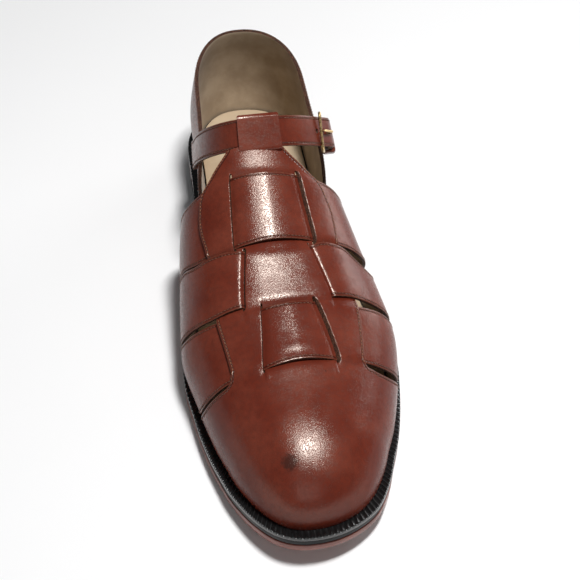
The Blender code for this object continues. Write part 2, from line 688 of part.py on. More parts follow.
def counter():
    """Heel counter standing on the welt."""
    columns = 31
    outer, inner = [], []
    for f in np.linspace(0.0, 1.0, 7):
        start = COUNTER_FOOT + (COUNTER_HEAD - COUNTER_FOOT) * f
        s = stations(start, LENGTH - WELT_SHOWN - 0.02 * MM, 121)
        lateral, medial = reaches(s, WELT_SHOWN)
        line = np.concatenate([np.stack([lateral, s], 1), np.stack([medial, s], 1)[::-1]])
        along = np.concatenate([[0.0], np.cumsum(np.linalg.norm(np.diff(line, axis=0), axis=1))])
        goal = np.linspace(0.0, along[-1], columns)
        plan = np.stack([np.interp(goal, along, line[:, k]) for k in (0, 1)], 1)
        ahead = np.gradient(plan, axis=0)
        out = np.stack([ahead[:, 1], -ahead[:, 0]], 1)
        out /= np.linalg.norm(out, axis=1, keepdims=True)
        back = np.sin(np.linspace(0.0, math.pi, columns)) ** 2
        height = f * (COUNTER_LOW + (COUNTER_HIGH - COUNTER_LOW) * back)
        swell = (through(COUNTER_FORM, height, 1) * back + through(COUNTER_FORM, height, 2) * (1.0 - back))
        z = feather_height(plan[:, 1]) + FIT_GAP + height
        outer.append(np.column_stack([plan + out * swell[:, None], z]))
        inner.append(np.column_stack([plan + out * (swell - COUNTER_WALL)[:, None], z]))
    return leather("counter", np.array(outer)[::-1], np.array(inner)[::-1], finish="brown_leather")


def wire_ring(points, radius, sides=8, closed=True):
    """Round wire along a line of points."""
    points = np.array(points)
    count = len(points)
    verts = []
    first = None
    for i, p in enumerate(points):
        before = points[i - 1] if closed or i else points[0]
        after = points[(i + 1) % count] if closed or i < count - 1 else points[-1]
        ahead = (after - before) / np.linalg.norm(after - before)
        first = np.cross(ahead, (0.31, 0.52, 0.79)) if first is None else first - ahead * (first @ ahead)
        first = first / np.linalg.norm(first)
        second = np.cross(ahead, first)
        for k in range(sides):
            turn = 2.0 * math.pi * k / sides
            verts.append(p + radius * (first * math.cos(turn) + second * math.sin(turn)))
    faces = grid_walls(count, sides, close_rows=closed)
    if not closed:
        end = sides * (count - 1)
        faces += [tuple(reversed(range(sides))), tuple(end + i for i in range(sides))]
    return verts, faces


def buckle():
    """Frame and prong; gives the middle of the rear bar."""
    rear = hoop(REAR_BAR[0], 0.0, REAR_BAR[1])
    free = hoop(FREE_BAR[0], 0.0, FREE_BAR[1])
    long_way = free - rear
    reach = float(np.linalg.norm(long_way))
    ahead = long_way / reach
    corners = ((0.0, -1.0), (reach, -1.0), (reach, 1.0), (0.0, 1.0))
    path = []
    for k, (u, w) in enumerate(corners):
        centre_u = FRAME_CORNER if u == 0.0 else reach - FRAME_CORNER
        centre_w = w * (FRAME_HALF - FRAME_CORNER)
        for t in np.linspace(0.0, 1.0, 5):
            turn = math.radians(180.0 + 90.0 * (k + t))
            path.append(rear + ahead * (centre_u + FRAME_CORNER * math.cos(turn))
                        + HOOP_AXIS * (centre_w + FRAME_CORNER * math.sin(turn)))
    verts, faces = wire_ring(path, WIRE)
    solid("buckle_frame", verts, faces, "brass")
    out = np.cross(ahead, HOOP_AXIS)
    out = out if out @ hoop_out(REAR_BAR[0], 0.0) > 0 else -out
    ring = WIRE + PRONG + FIT_GAP
    line = []
    for t in np.linspace(-205.0, 62.0, 15):
        turn = math.radians(t)
        line.append(rear + ring * (ahead * math.cos(turn) + out * math.sin(turn)))
    top = free + out * (WIRE + PRONG + PRONG_REST)
    peak = rear + ahead * PRONG_PEAK[0] + out * PRONG_PEAK[1]
    line.append(rear + ahead * PRONG_RISE[0] + out * PRONG_RISE[1])
    line.append(peak)
    line.append((top + peak) / 2.0)
    line.append(top)
    line.append(top + ahead * PRONG_TIP)
    verts, faces = wire_ring(line, PRONG, sides=8, closed=False)
    solid("buckle_prong", verts, faces, "brass")
    return rear


def ankle():
    """Ankle strap, buckle tab and keeper."""
    half = ANKLE_WIDTH / 2.0
    flat = racetrack(half, 0.0, ANKLE_WALL)
    places = np.concatenate([np.linspace(ANKLE_END, -0.45, 13), np.linspace(-0.40, 0.40, 17),
                             np.linspace(0.45, ANKLE_TIP, 21)])
    strap_body = hoop_tube("ankle_strap", places, flat, "brown_leather", lift=True)
    hole = hoop_tube("prong_hole", np.linspace(*PRONG_HOLE, 4), cut_profile(PRONG_HOLE_HALF), lift=True)
    combine(strap_body, hole, "DIFFERENCE")
    tab = hoop_tube("buckle_tab", np.linspace(*TAB_PLACES, 15),
                    racetrack(TAB_HALF, 0.0, ANKLE_WALL), "brown_leather")
    rear = buckle()
    ends = [rear - HOOP_AXIS * TAB_HALF, rear + HOOP_AXIS * TAB_HALF]
    verts, faces = wire_ring(ends, EYE_RADIUS, sides=18, closed=False)
    combine(tab, solid("eye", verts, faces), "UNION")
    past = HOOP_AXIS * (TAB_HALF + EYE_RADIUS * 1.5)
    ends = [rear - past, rear + past]
    verts, faces = wire_ring(ends, EYE_BORE, sides=18, closed=False)
    combine(tab, solid("eye_bore", verts, faces), "DIFFERENCE")
    slot_places = np.linspace(REAR_BAR[0] - SLOT_SPAN, REAR_BAR[0] + SLOT_SPAN, 4)
    slot = hoop_tube("tab_slot", slot_places, cut_profile(TAB_SLOT))
    combine(tab, slot, "DIFFERENCE")
    span = KEEPER_WIDTH / 2.0 / (HOOP_HIGH * HOOP_FALL)
    rows = np.linspace(KEEPER_PLACE - span, KEEPER_PLACE + span, 4)
    wide = half + KEEPER_FREE
    low, high = -KEEPER_FREE, TAB_LIFT + ANKLE_WALL + KEEPER_FREE
    outside = racetrack(wide + KEEPER_WALL, low - KEEPER_WALL, high + KEEPER_WALL)
    keeper = hoop_tube("keeper_loop", rows, outside, "brown_leather")
    bore_places = np.linspace(rows[0] - span, rows[-1] + span, 4)
    bore = hoop_tube("keeper_bore", bore_places, racetrack(wide, low, high))
    combine(keeper, bore, "DIFFERENCE")


sole()
upper()
counter()
ankle()
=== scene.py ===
"""Looks of the left fisherman sandal: woven leather upper, ribbed welt, layered sole, buckle.

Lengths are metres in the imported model's frame. A "station" is the distance back from the toe
tip of the welt, and a "girth" share runs from -1 on the medial to +1 on the lateral feather line.
"""
from __future__ import annotations

import logging
import math
from contextlib import contextmanager
from dataclasses import dataclass, field
from enum import Enum
from typing import Callable, Iterable, Iterator, Sequence

import bmesh
import bpy
import numpy as np
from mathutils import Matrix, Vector

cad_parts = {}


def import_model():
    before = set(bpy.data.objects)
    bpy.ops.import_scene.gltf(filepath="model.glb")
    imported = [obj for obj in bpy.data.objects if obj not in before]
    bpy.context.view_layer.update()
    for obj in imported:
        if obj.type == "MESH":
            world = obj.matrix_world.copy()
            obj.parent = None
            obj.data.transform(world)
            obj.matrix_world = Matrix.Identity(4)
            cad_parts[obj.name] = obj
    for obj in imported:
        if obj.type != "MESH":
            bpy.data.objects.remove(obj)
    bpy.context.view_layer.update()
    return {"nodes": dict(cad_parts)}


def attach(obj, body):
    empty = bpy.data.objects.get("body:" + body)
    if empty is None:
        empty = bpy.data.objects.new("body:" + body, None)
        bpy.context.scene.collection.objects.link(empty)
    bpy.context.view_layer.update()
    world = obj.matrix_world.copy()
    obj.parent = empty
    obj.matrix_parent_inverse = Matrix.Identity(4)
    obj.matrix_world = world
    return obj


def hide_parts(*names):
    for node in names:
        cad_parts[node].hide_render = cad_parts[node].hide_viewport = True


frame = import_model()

LOG = logging.getLogger("sandal")
MM = 0.001
STITCH_INSET = 1.35 * MM
AWAY_FROM_EDGES = 6.0
Array = np.ndarray
Colour = tuple[float, float, float]
Material = bpy.types.Material
Piece = bpy.types.Object
Socket = bpy.types.NodeSocket


# Curves

def through(table: Array, places: Array, column: int = 1) -> Array:
    """Read a smooth curve through a table's rows.

    Args:
        table: rows of place and values, places rising.
        places: where to read the curve.
        column: which value of the rows to read.

    Returns:
        The curve's values, one for each place.
    """
    x, y = table[:, 0], table[:, column]
    places = np.clip(np.asarray(places, float), x[0], x[-1])
    step = np.diff(x)
    slope = np.diff(y) / step
    ends = np.empty_like(y)
    ends[0], ends[-1] = slope[0], slope[-1]
    ends[1:-1] = (slope[:-1] * step[1:] + slope[1:] * step[:-1]) / (step[:-1] + step[1:])
    i = np.clip(np.searchsorted(x, places) - 1, 0, len(x) - 2)
    h = step[i]
    t = (places - x[i]) / h
    return ((1 + 2 * t) * (1 - t) ** 2 * y[i] + t * (1 - t) ** 2 * h * ends[i]
            + t * t * (3 - 2 * t) * y[i + 1] + t * t * (t - 1) * h * ends[i + 1])


def ease(low: float, high: float, value: Array) -> Array:
    """Rise smoothly from 0 at low to 1 at high."""
    t = np.clip((np.asarray(value, float) - low) / (high - low), 0.0, 1.0)
    return t * t * (3.0 - 2.0 * t)


def closing(depth: Array, radius: float, power: float) -> Array:
    """Give the share of the full reach at a depth behind an end."""
    t = np.clip(1.0 - np.asarray(depth, float) / radius, 0.0, 1.0)
    return (1.0 - t ** power) ** (1.0 / power)


def table(rows: Sequence[Sequence[float]]) -> Array:
    """Turn rows of millimetres into metres."""
    return np.array(rows, float) * MM


def shares(rows: Sequence[Sequence[float]]) -> Array:
    """Turn rows of girth share and station in millimetres into share and metres."""
    return np.array(rows, float) * (1.0, MM)


def unit(way: Array, least: float = 0.0) -> Array:
    """Give directions of length 1; a length under least counts as least."""
    return way / np.maximum(np.linalg.norm(way, axis=-1, keepdims=True), least)


def lengths(line: Array) -> Array:
    """Give the distance along a line of points, 0 at its start."""
    return np.concatenate([[0.0], np.cumsum(np.linalg.norm(np.diff(line, axis=0), axis=1))])


def read_line(line: Array, run: Array, goal: Array) -> Array:
    """Read a line of points, whose distances along it are run, at other distances."""
    return np.stack([np.interp(goal, run, line[:, k]) for k in range(line.shape[1])], 1)


def spread_even(line: Array, count: int, closed: bool = False) -> Array:
    """Give points at even distances along a line, without the last one where it is closed."""
    run = lengths(line)
    return read_line(line, run, np.linspace(0.0, run[-1], count, endpoint=not closed))


def stretches(shown: Array) -> list[slice]:
    """Give the stretches of more than four places where a mask holds."""
    turns = np.flatnonzero(np.diff(np.concatenate([[0], shown.astype(int), [0]])))
    return [slice(a, b) for a, b in zip(turns[::2], turns[1::2]) if b - a > 4]


# The last and the sole line

@dataclass(frozen=True)
class Last:
    """Form the whole shoe is built round: plan outline, side line and the upper's outside."""

    length: float = 300.0 * MM
    side_shift: float = 1.88 * MM
    tip_offset: float = -3.0 * MM
    sole_thick: float = 10.5 * MM
    toe_spring: float = 10.0 * MM
    spring_station: float = 85.0 * MM
    heel_rise: float = 14.0 * MM
    rise_start: float = 118.0 * MM
    rise_end: float = 222.0 * MM
    toe_radius: float = 40.0 * MM
    toe_power: float = 2.2
    heel_radius: float = 42.0 * MM
    heel_power: float = 2.3
    welt_shown: float = 4.8 * MM
    crown_radius: float = 46.0 * MM
    crown_power: float = 2.35
    welt_edge: Array = field(default_factory=lambda: table([
        (0, 34.5, 29.5), (12, 38.0, 29.8), (25, 39.4, 32.2), (40, 43.0, 36.6), (55, 48.2, 41.0),
        (70, 52.0, 44.3), (85, 54.8, 46.6), (105, 57.2, 49.0), (130, 55.4, 47.6), (155, 49.8, 43.0),
        (180, 43.9, 38.0), (205, 40.2, 33.8), (235, 38.6, 32.0), (262, 37.8, 32.0), (300, 36.5, 31.5)]))
    crown: Array = field(default_factory=lambda: table([
        (0, 31), (15, 33), (30, 36), (45, 39), (60, 42), (80, 46.5), (100, 52), (120, 59),
        (140, 67.5), (160, 78), (180, 91), (200, 107)]))
    ridge: Array = field(default_factory=lambda: table([
        (0, -3), (40, -4), (80, -6), (120, -8), (160, -8), (200, -6)]))
    swell: Array = field(default_factory=lambda: table([
        (0, 0.8, 0.8), (30, 1.2, 1.4), (60, 1.8, 2.3), (90, 3.2, 3.3), (110, 4.9, 3.3),
        (130, 5.3, 2.0), (150, 7.1, 1.6), (175, 9.3, 1.5), (200, 8.2, 1.5)]))
    belly: Array = field(default_factory=lambda: table([
        (0, 3.0), (30, 5.0), (60, 7.0), (90, 8.5), (120, 11), (160, 15), (200, 17)]))
    arch_power: Array = field(default_factory=lambda: np.array([
        (0, 2.25), (0.04, 2.2), (0.09, 2.15), (0.14, 2.1), (0.2, 2.2)]))

    def reaches(self, station: Array, inset: float = 0.0) -> tuple[Array, Array]:
        """Give the sideways places of the lateral and medial outline.

        Args:
            station: stations to read.
            inset: how far the outline is drawn in.

        Returns:
            Lateral and medial places.
        """
        station = np.asarray(station, float)
        share = (closing(station - inset, self.toe_radius - inset, self.toe_power)
                 * closing(self.length - inset - station, self.heel_radius - inset, self.heel_power))
        middle = self.tip_offset * (1.0 - station / self.length)
        lateral = middle + share * (through(self.welt_edge, station, 1) - inset)
        medial = middle - share * (through(self.welt_edge, station, 2) - inset)
        return lateral, medial

    def feather_height(self, station: Array) -> Array:
        """Give the height of the welt's top at stations."""
        station = np.asarray(station, float)
        back = np.clip((self.spring_station - station) / self.spring_station, 0.0, 1.0)
        return self.sole_thick + self.toe_spring * back ** 2 + self.rise(station)

    def rise(self, station: Array) -> Array:
        """Give the lift of the sole from the ball to the heel seat."""
        return self.heel_rise * ease(self.rise_start, self.rise_end, station)

    def sections(self, station: Array, count: int = 81) -> Array:
        """Give cross-sections of the upper's outside from medial to lateral.

        Args:
            station: stations.
            count: points over each arch.

        Returns:
            Points, a row for each station.
        """
        station = np.atleast_1d(np.asarray(station, float))
        shut = closing(station - self.welt_shown, self.crown_radius, self.crown_power)
        lateral, medial = self.reaches(station, self.welt_shown)
        foot = self.feather_height(station)
        crown = shut * through(self.crown, station) - self.rise(station)
        belly = shut * through(self.belly, station)
        swell_m = shut * through(self.swell, station, 1)
        swell_l = shut * through(self.swell, station, 2)
        ridge = np.clip(through(self.ridge, station), medial, lateral)
        power = (2.0 / through(self.arch_power, station))[:, None]
        angle = np.linspace(0.0, math.pi, count)
        cosine, sine = np.cos(angle), np.sin(angle)
        half_m = (ridge - medial + swell_m)[:, None]
        half_l = (lateral + swell_l - ridge)[:, None]
        bow = np.abs(cosine) ** power
        arch_x = ridge[:, None] + np.where(cosine > 0.0, -half_m * bow, half_l * bow)
        arch_z = (foot + belly)[:, None] + (crown - belly)[:, None] * np.abs(sine) ** power
        down = np.linspace(1.0, 0.0, 9)[:-1]
        low_z = foot[:, None] + belly[:, None] * (1.0 - down)
        medial_x = (medial - swell_m)[:, None] + swell_m[:, None] * down ** 2
        lateral_x = (lateral + swell_l)[:, None] - swell_l[:, None] * down ** 2
        x = np.concatenate([medial_x, arch_x, lateral_x[:, ::-1]], 1)
        z = np.concatenate([low_z, arch_z, low_z[:, ::-1]], 1)
        return np.stack([x, np.repeat(station[:, None], x.shape[1], 1), z], -1)

    def outline(self, inset: float, count: int) -> Array:
        """Give even plan points round the sole.

        Args:
            inset: how far the outline is drawn in.
            count: how many points.

        Returns:
            Rows of sideways place and station, from the toe by the lateral side.
        """
        turn = np.linspace(0.0, math.pi, 1201)
        station = inset + (self.length - 2.0 * inset) * (0.5 - 0.5 * np.cos(turn))
        lateral, medial = self.reaches(station, inset)
        loop = np.concatenate([np.stack([lateral, station], 1), np.stack([medial, station], 1)[::-1]])
        return spread_even(loop, count, closed=True)


LAST = Last()


def world(points: Array) -> Array:
    """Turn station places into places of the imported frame."""
    return np.asarray(points, float) - (LAST.side_shift, LAST.length / 2.0, 0.0)


class Net:
    """Even net of points or directions, read smoothly between its knots."""

    def __init__(self, knots: Array) -> None:
        """Keep the knots with one more row and column past each side."""
        rows = np.concatenate([2 * knots[:1] - knots[1:2], knots, 2 * knots[-1:] - knots[-2:-1]])
        self.knots = np.concatenate([2 * rows[:, :1] - rows[:, 1:2], rows,
                                     2 * rows[:, -1:] - rows[:, -2:-1]], 1)

    @staticmethod
    def weights(t: Array) -> list[Array]:
        """Give the four weights of a smooth curve between its second and third knot."""
        return [t * (-0.5 + t * (1.0 - 0.5 * t)), 1.0 + t * t * (1.5 * t - 2.5),
                t * (0.5 + t * (2.0 - 1.5 * t)), t * t * (0.5 * t - 0.5)]

    def read(self, down: Array, across: Array) -> Array:
        """Read the net.

        Args:
            down: places along the rows, counted in knots.
            across: places along the columns, counted in knots.

        Returns:
            One point for each place.
        """
        down, across = np.broadcast_arrays(np.asarray(down, float), np.asarray(across, float))
        rows, columns = self.knots.shape[0] - 2, self.knots.shape[1] - 2
        r = np.clip(np.floor(down).astype(int), 0, rows - 2)
        c = np.clip(np.floor(across).astype(int), 0, columns - 2)
        u, v = self.weights(np.clip(down - r, 0.0, 1.0)), self.weights(np.clip(across - c, 0.0, 1.0))
        out = np.zeros(down.shape + (self.knots.shape[2],))
        for i in range(4):
            for j in range(4):
                out += (u[i] * v[j])[..., None] * self.knots[r + i, c + j]
        return out

    @classmethod
    def normals(cls, knots: Array, level: Array | None = None) -> "Net":
        """Make the net of outward directions of a net of points.

        Args:
            knots: the points.
            level: factor of the upright share for each column.

        Returns:
            The directions' net.
        """
        out = np.cross(np.gradient(knots, axis=1), np.gradient(knots, axis=0))
        if level is not None:
            out[..., 2] *= level
        return cls(unit(out, 1e-30))


class Skin:
    """The upper's outside, laid out along the crown from the toe tip and round the girth."""

    step = 0.5 * MM
    girths = 401
    spread = 85.0 * MM
    last_station = 199.9 * MM
    tip_gap = 1e-4 * MM

    def __init__(self, last: Last) -> None:
        """Measure the crown line and lay the net over the last.

        Args:
            last: the form under it.
        """
        close_at_tip = np.linspace(0.0, 1.0, 8001) ** 2.5
        reach = self.last_station - last.welt_shown
        self.dense = last.welt_shown + self.tip_gap + reach * close_at_tip
        shut = closing(self.dense - last.welt_shown, last.crown_radius, last.crown_power)
        crown = last.feather_height(self.dense) - last.rise(self.dense)
        crown = crown + through(last.crown, self.dense) * shut
        steps = np.hypot(np.diff(self.dense), np.diff(crown))
        self.arc = np.concatenate([[0.0], np.cumsum(steps)])
        rows = self.station(np.arange(0.0, self.arc[-1], self.step))
        lines = last.sections(rows, 961)
        share = np.linspace(-1.0, 1.0, self.girths)
        knots = np.empty((len(rows), self.girths, 3))
        self.half = np.empty(len(rows))
        for k, line in enumerate(lines):
            run = lengths(line)
            self.half[k] = run[-1] / 2.0
            knots[k] = read_line(line, run, (share + 1.0) * self.half[k])
        self.points = Net(knots)
        self.directions = Net.normals(knots, ease(1.0, 0.97, np.abs(share)))

    def station(self, run: Array) -> Array:
        """Give the station at a run along the crown."""
        return np.interp(run, self.arc, self.dense)

    def run(self, station: Array) -> Array:
        """Give the run along the crown at a station."""
        return np.interp(station, self.dense, self.arc)

    def half_girth(self, station: Array) -> Array:
        """Give half the girth at stations."""
        return np.interp(self.run(station), np.arange(len(self.half)) * self.step, self.half)

    def place(self, station: Array, girth: Array, lift: Array = 0.0) -> Array:
        """Give points held off the outside, at stations and girth shares.

        Args:
            station: stations.
            girth: girth shares.
            lift: heights off the last.

        Returns:
            One point for each.
        """
        down = self.run(station) / self.step
        across = (np.asarray(girth, float) + 1.0) / 2.0 * (self.girths - 1)
        out = unit(self.directions.read(down, across))
        return self.points.read(down, across) + out * np.asarray(lift)[..., None]

    def seam_line(self, station: Array, girth: Array, lift: Array) -> tuple[Array, Array]:
        """Give a lifted line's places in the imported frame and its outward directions."""
        line = world(self.place(station, girth, lift))
        return line, world(self.place(station, girth, lift + MM)) - line

    def unfold(self, flat: Array) -> tuple[Array, Array]:
        """Turn pattern places back into stations and girth shares."""
        return self.station(flat[:, 0]), np.clip(flat[:, 1] / self.spread, -1.0, 1.0)

    def lay_flat(self, station: Array, girth: Array) -> Array:
        """Turn stations and girth shares into pattern places."""
        return np.stack([self.run(station), np.asarray(girth) * self.spread], -1)


SKIN = Skin(LAST)


# Materials

class Graph:
    """Node graph of one material, built a few nodes at a time."""

    def __init__(self, name: str) -> None:
        """Start a material with its shader and Object coordinates."""
        self.material = bpy.data.materials.new(name)
        self.material.use_nodes = True
        self.tree = self.material.node_tree
        self.shader = self.tree.nodes["Principled BSDF"]
        self.coordinates = self.tree.nodes.new("ShaderNodeTexCoord").outputs["Object"]

    def node(self, kind: str, **values: object) -> bpy.types.Node:
        """Add a node and set its properties."""
        made = self.tree.nodes.new(kind)
        for key, value in values.items():
            setattr(made, key, value)
        return made

    def join(self, source: Socket, target: Socket) -> None:
        """Link two sockets."""
        self.tree.links.new(source, target)

    def shader_value(self, name: str, value: object) -> None:
        """Set a value on the shader's own socket."""
        self.shader.inputs[name].default_value = value

    def noise(self, scale: float, detail: float = 4.0, rough: float = 0.55,
              stretch: Sequence[float] = (1.0, 1.0, 1.0)) -> Socket:
        """Add noise over the Object coordinates.

        Args:
            scale: waves in a metre.
            detail: octaves.
            rough: strength of the finer octaves.
            stretch: factor of the scale along each axis.

        Returns:
            The noise's factor.
        """
        made = self.node("ShaderNodeTexNoise")
        made.inputs["Scale"].default_value = scale
        made.inputs["Detail"].default_value = detail
        made.inputs["Roughness"].default_value = rough
        if tuple(stretch) == (1.0, 1.0, 1.0):
            self.join(self.coordinates, made.inputs["Vector"])
        else:
            mapping = self.node("ShaderNodeMapping")
            mapping.inputs["Scale"].default_value = stretch
            self.join(self.coordinates, mapping.inputs["Vector"])
            self.join(mapping.outputs["Vector"], made.inputs["Vector"])
        return made.outputs["Fac"]

    def cells(self, scale: float, feature: str = "DISTANCE_TO_EDGE") -> Socket:
        """Add leather-like cells over the Object coordinates."""
        made = self.node("ShaderNodeTexVoronoi", feature=feature)
        made.inputs["Scale"].default_value = scale
        self.join(self.coordinates, made.inputs["Vector"])
        return made.outputs["Distance"]

    def attribute(self, name: str) -> Socket:
        """Read a float attribute of the mesh."""
        return self.node("ShaderNodeAttribute", attribute_name=name).outputs["Fac"]

    def span(self, source: Socket, low: float, high: float,
             start: float = 0.0, end: float = 1.0) -> Socket:
        """Map a value from low..high to start..end, clamped and smooth.

        Args:
            source: the value.
            low: start of the ramp.
            high: its end.
            start: result at low.
            end: result at high.

        Returns:
            The result.
        """
        made = self.node("ShaderNodeMapRange", interpolation_type="SMOOTHSTEP")
        made.inputs["From Min"].default_value = low
        made.inputs["From Max"].default_value = high
        made.inputs["To Min"].default_value = start
        made.inputs["To Max"].default_value = end
        self.join(source, made.inputs["Value"])
        return made.outputs["Result"]

    def math(self, operation: str, first: Socket,
             second: Socket | float) -> Socket:
        """Combine two values, the second may be a number.

        Args:
            operation: its name.
            first: a value.
            second: a value or number.

        Returns:
            The result.
        """
        made = self.node("ShaderNodeMath", operation=operation)
        self.join(first, made.inputs[0])
        if isinstance(second, (int, float)):
            made.inputs[1].default_value = second
        else:
            self.join(second, made.inputs[1])
        return made.outputs["Value"]

    def mix(self, factor: Socket, first: object, second: object) -> Socket:
        """Mix two colours, each a socket or a triple.

        Args:
            factor: share of the second.
            first: a colour.
            second: a colour.

        Returns:
            The colour.
        """
        made = self.node("ShaderNodeMix", data_type="RGBA")
        self.join(factor, made.inputs[0])
        for value, socket in ((first, made.inputs[6]), (second, made.inputs[7])):
            if isinstance(value, Socket):
                self.join(value, socket)
            else:
                socket.default_value = (*value, 1.0)
        return made.outputs[2]

    def bump(self, height: Socket, distance: float, strength: float = 1.0,
             under: Socket | None = None) -> Socket:
        """Add relief, on top of other relief where given.

        Args:
            height: height from 0 to 1.
            distance: what a height of 1 is in metres.
            strength: share of the relief that shows.
            under: normal of the relief below.

        Returns:
            The bent normal.
        """
        made = self.node("ShaderNodeBump")
        made.inputs["Strength"].default_value = strength
        made.inputs["Distance"].default_value = distance
        self.join(height, made.inputs["Height"])
        if under is not None:
            self.join(under, made.inputs["Normal"])
        return made.outputs["Normal"]

    def finish(self, colour: Socket, roughness: Socket | None = None,
               normal: Socket | None = None) -> Material:
        """Link what is given to the shader and give the material.

        Args:
            colour: base colour.
            roughness: roughness.
            normal: bent normal.

        Returns:
            The material.
        """
        for source, name in ((colour, "Base Color"), (roughness, "Roughness"), (normal, "Normal")):
            if source is not None:
                self.join(source, self.shader.inputs[name])
        return self.material


@dataclass(frozen=True)
class PolishedLeather:
    """Smooth reddish-brown leather with fine pores, a light rim at the edges that is partly wear and partly
    painted highlight, and a groove for the thread.
    """

    name: str = "brown_leather"
    base: Colour = (0.128, 0.0195, 0.0095)
    deep: Colour = (0.060, 0.0105, 0.0062)
    worn: Colour = (0.172, 0.035, 0.019)
    # light rim colour: bare worn leather and a painted highlight along the cut edges
    worn_rim_and_highlight: Colour = (0.240, 0.100, 0.055)
    scuff_place: tuple[float, float, float] = (-0.0130, -0.1264, 0.0458)
    scuff: bool = False
    in_groove: Colour = (0.016, 0.005, 0.0035)
    speck: Colour = (0.018, 0.006, 0.004)
    rubbed_off: Colour = (0.030, 0.011, 0.008)
    pores: float = 1850.0
    pore_depth: float = 0.00006
    groove_depth: float = 0.00028
    wave_depth: float = 0.0005

    def make(self) -> Material:
        """Build the material."""
        g = Graph(self.name)
        cloud = g.noise(38.0, 3.0)
        mottle = g.noise(420.0, 4.0, 0.6)
        edge = g.attribute("edge")
        groove = g.math("ABSOLUTE", g.math("SUBTRACT", edge, STITCH_INSET / MM), 0.0)
        pebble = g.cells(self.pores, "F1")
        colour = self.colour(g, cloud, mottle, edge, groove)
        roughness = g.math("ADD", g.span(cloud, 0.3, 0.7, 0.22, 0.27), g.span(mottle, 0.3, 0.7, -0.03, 0.05))
        normal = g.bump(g.span(pebble, 0.05, 0.62, 1.0, 0.0), self.pore_depth, 0.55)
        normal = g.bump(g.noise(2600.0, 2.0, 0.6), 0.000012, 0.6, normal)
        normal = g.bump(g.noise(110.0, 2.0), self.wave_depth, 0.22, normal)
        normal = g.bump(g.span(groove, 0.10, 0.55), self.groove_depth, 0.9, normal)
        facing = g.node("ShaderNodeLayerWeight").outputs["Facing"]
        g.join(g.span(facing, 0.12, 0.52, 0.54, 0.10), g.shader.inputs["Specular IOR Level"])
        g.shader_value("Specular Tint", (1.0, 0.90, 0.80, 1.0))
        return g.finish(colour, roughness, normal)

    def colour(self, g: Graph, cloud: Socket, mottle: Socket,
               edge: Socket, groove: Socket) -> Socket:
        """Mix the colour: clouded dye, dark groove, a light rim that is partly rubbed wear and partly painted
        highlight, specks and the scuff.

        Args:
            g: the graph.
            cloud: slow noise.
            mottle: finer noise.
            edge: millimetres to the cut edge.
            groove: millimetres to the stitch line.

        Returns:
            The colour.
        """
        colour = g.mix(g.span(cloud, 0.35, 0.68), self.base, self.worn)
        colour = g.mix(g.span(mottle, 0.30, 0.72, 0.0, 0.38), colour, self.deep)
        colour = g.mix(g.span(edge, 0.3, 2.6, 0.45, 0.0), colour, self.deep)
        colour = g.mix(g.span(groove, 0.08, 0.42, 0.62, 0.0), colour, self.in_groove)
        # light rim within about half a millimetre of the cut edge: partly rubbed wear, partly a painted
        # highlight
        rubbed_rim_and_highlight = g.math("MULTIPLY", g.span(edge, 0.05, 0.55, 0.55, 0.0), g.span(mottle, 0.35, 0.6, 0.35, 1.0))
        colour = g.mix(rubbed_rim_and_highlight, colour, self.worn_rim_and_highlight)
        colour = g.mix(g.span(g.noise(900.0, 2.0), 0.735, 0.765, 0.0, 0.8), colour, self.speck)
        if self.scuff:
            mapping = g.node("ShaderNodeMapping")
            mapping.inputs["Location"].default_value = tuple(-c for c in self.scuff_place)
            g.join(g.coordinates, mapping.inputs["Vector"])
            ball = g.node("ShaderNodeVectorMath", operation="LENGTH")
            g.join(mapping.outputs["Vector"], ball.inputs[0])
            fray = g.math("MULTIPLY", g.noise(650.0, 4.0, 0.7), -0.007)
            ragged = g.math("ADD", ball.outputs["Value"], fray)
            colour = g.mix(g.span(ragged, -0.0012, 0.0016, 0.74, 0.0), colour, self.rubbed_off)
        return colour


@dataclass(frozen=True)
class CutEdge:
    """Raw cut side of the leather, darkened and fibrous."""

    name: str = "cut_edge"
    light: Colour = (0.210, 0.088, 0.048)
    dark: Colour = (0.022, 0.0080, 0.0050)

    def make(self) -> Material:
        """Build the material."""
        g = Graph(self.name)
        fibre = g.noise(1900.0, 5.0, 0.7)
        colour = g.mix(g.span(fibre, 0.44, 0.70), self.dark, self.light)
        normal = g.bump(fibre, 0.00022, 0.9)
        g.shader_value("Roughness", 0.66)
        g.shader_value("Specular IOR Level", 0.22)
        return g.finish(colour, None, normal)


@dataclass(frozen=True)
class SoftLining:
    """Lining side: fine suede-like nap."""

    name: str = "lining"
    light: Colour = (0.46, 0.36, 0.25)
    dark: Colour = (0.30, 0.22, 0.14)

    def make(self) -> Material:
        """Build the material."""
        g = Graph(self.name)
        cloud = g.noise(60.0, 4.0)
        nap = g.noise(2400.0, 4.0, 0.7)
        colour = g.mix(g.span(cloud, 0.3, 0.7), self.light, self.dark)
        colour = g.mix(g.span(nap, 0.3, 0.75, 0.0, 0.3), colour, self.dark)
        normal = g.bump(nap, 0.00010, 0.6)
        g.shader_value("Roughness", 0.86)
        g.shader_value("Sheen Weight", 0.15)
        return g.finish(colour, None, normal)


@dataclass(frozen=True)
class MouldedRubber:
    """Black sole stock with a satin or polished edge."""

    name: str
    base: Colour = (0.0060, 0.0062, 0.0065)
    dust: Colour = (0.045, 0.043, 0.040)
    roughness: float = 0.34
    dusty: float = 0.25
    coat: float = 0.25
    specular: float = 0.5

    def make(self) -> Material:
        """Build the material."""
        g = Graph(self.name)
        cloud = g.noise(70.0, 5.0, 0.6)
        grit = g.noise(1400.0, 3.0)
        colour = g.mix(g.span(cloud, 0.5, 0.85, 0.0, self.dusty), self.base, self.dust)
        roughness = g.math("ADD", g.span(cloud, 0.3, 0.8, self.roughness, self.roughness + 0.14),
                           g.span(grit, 0.4, 0.7, 0.0, 0.05))
        normal = g.bump(grit, 0.00004, 0.5)
        g.shader_value("Specular IOR Level", self.specular)
        g.shader_value("Coat Weight", self.coat)
        g.shader_value("Coat Roughness", 0.22)
        return g.finish(colour, roughness, normal)


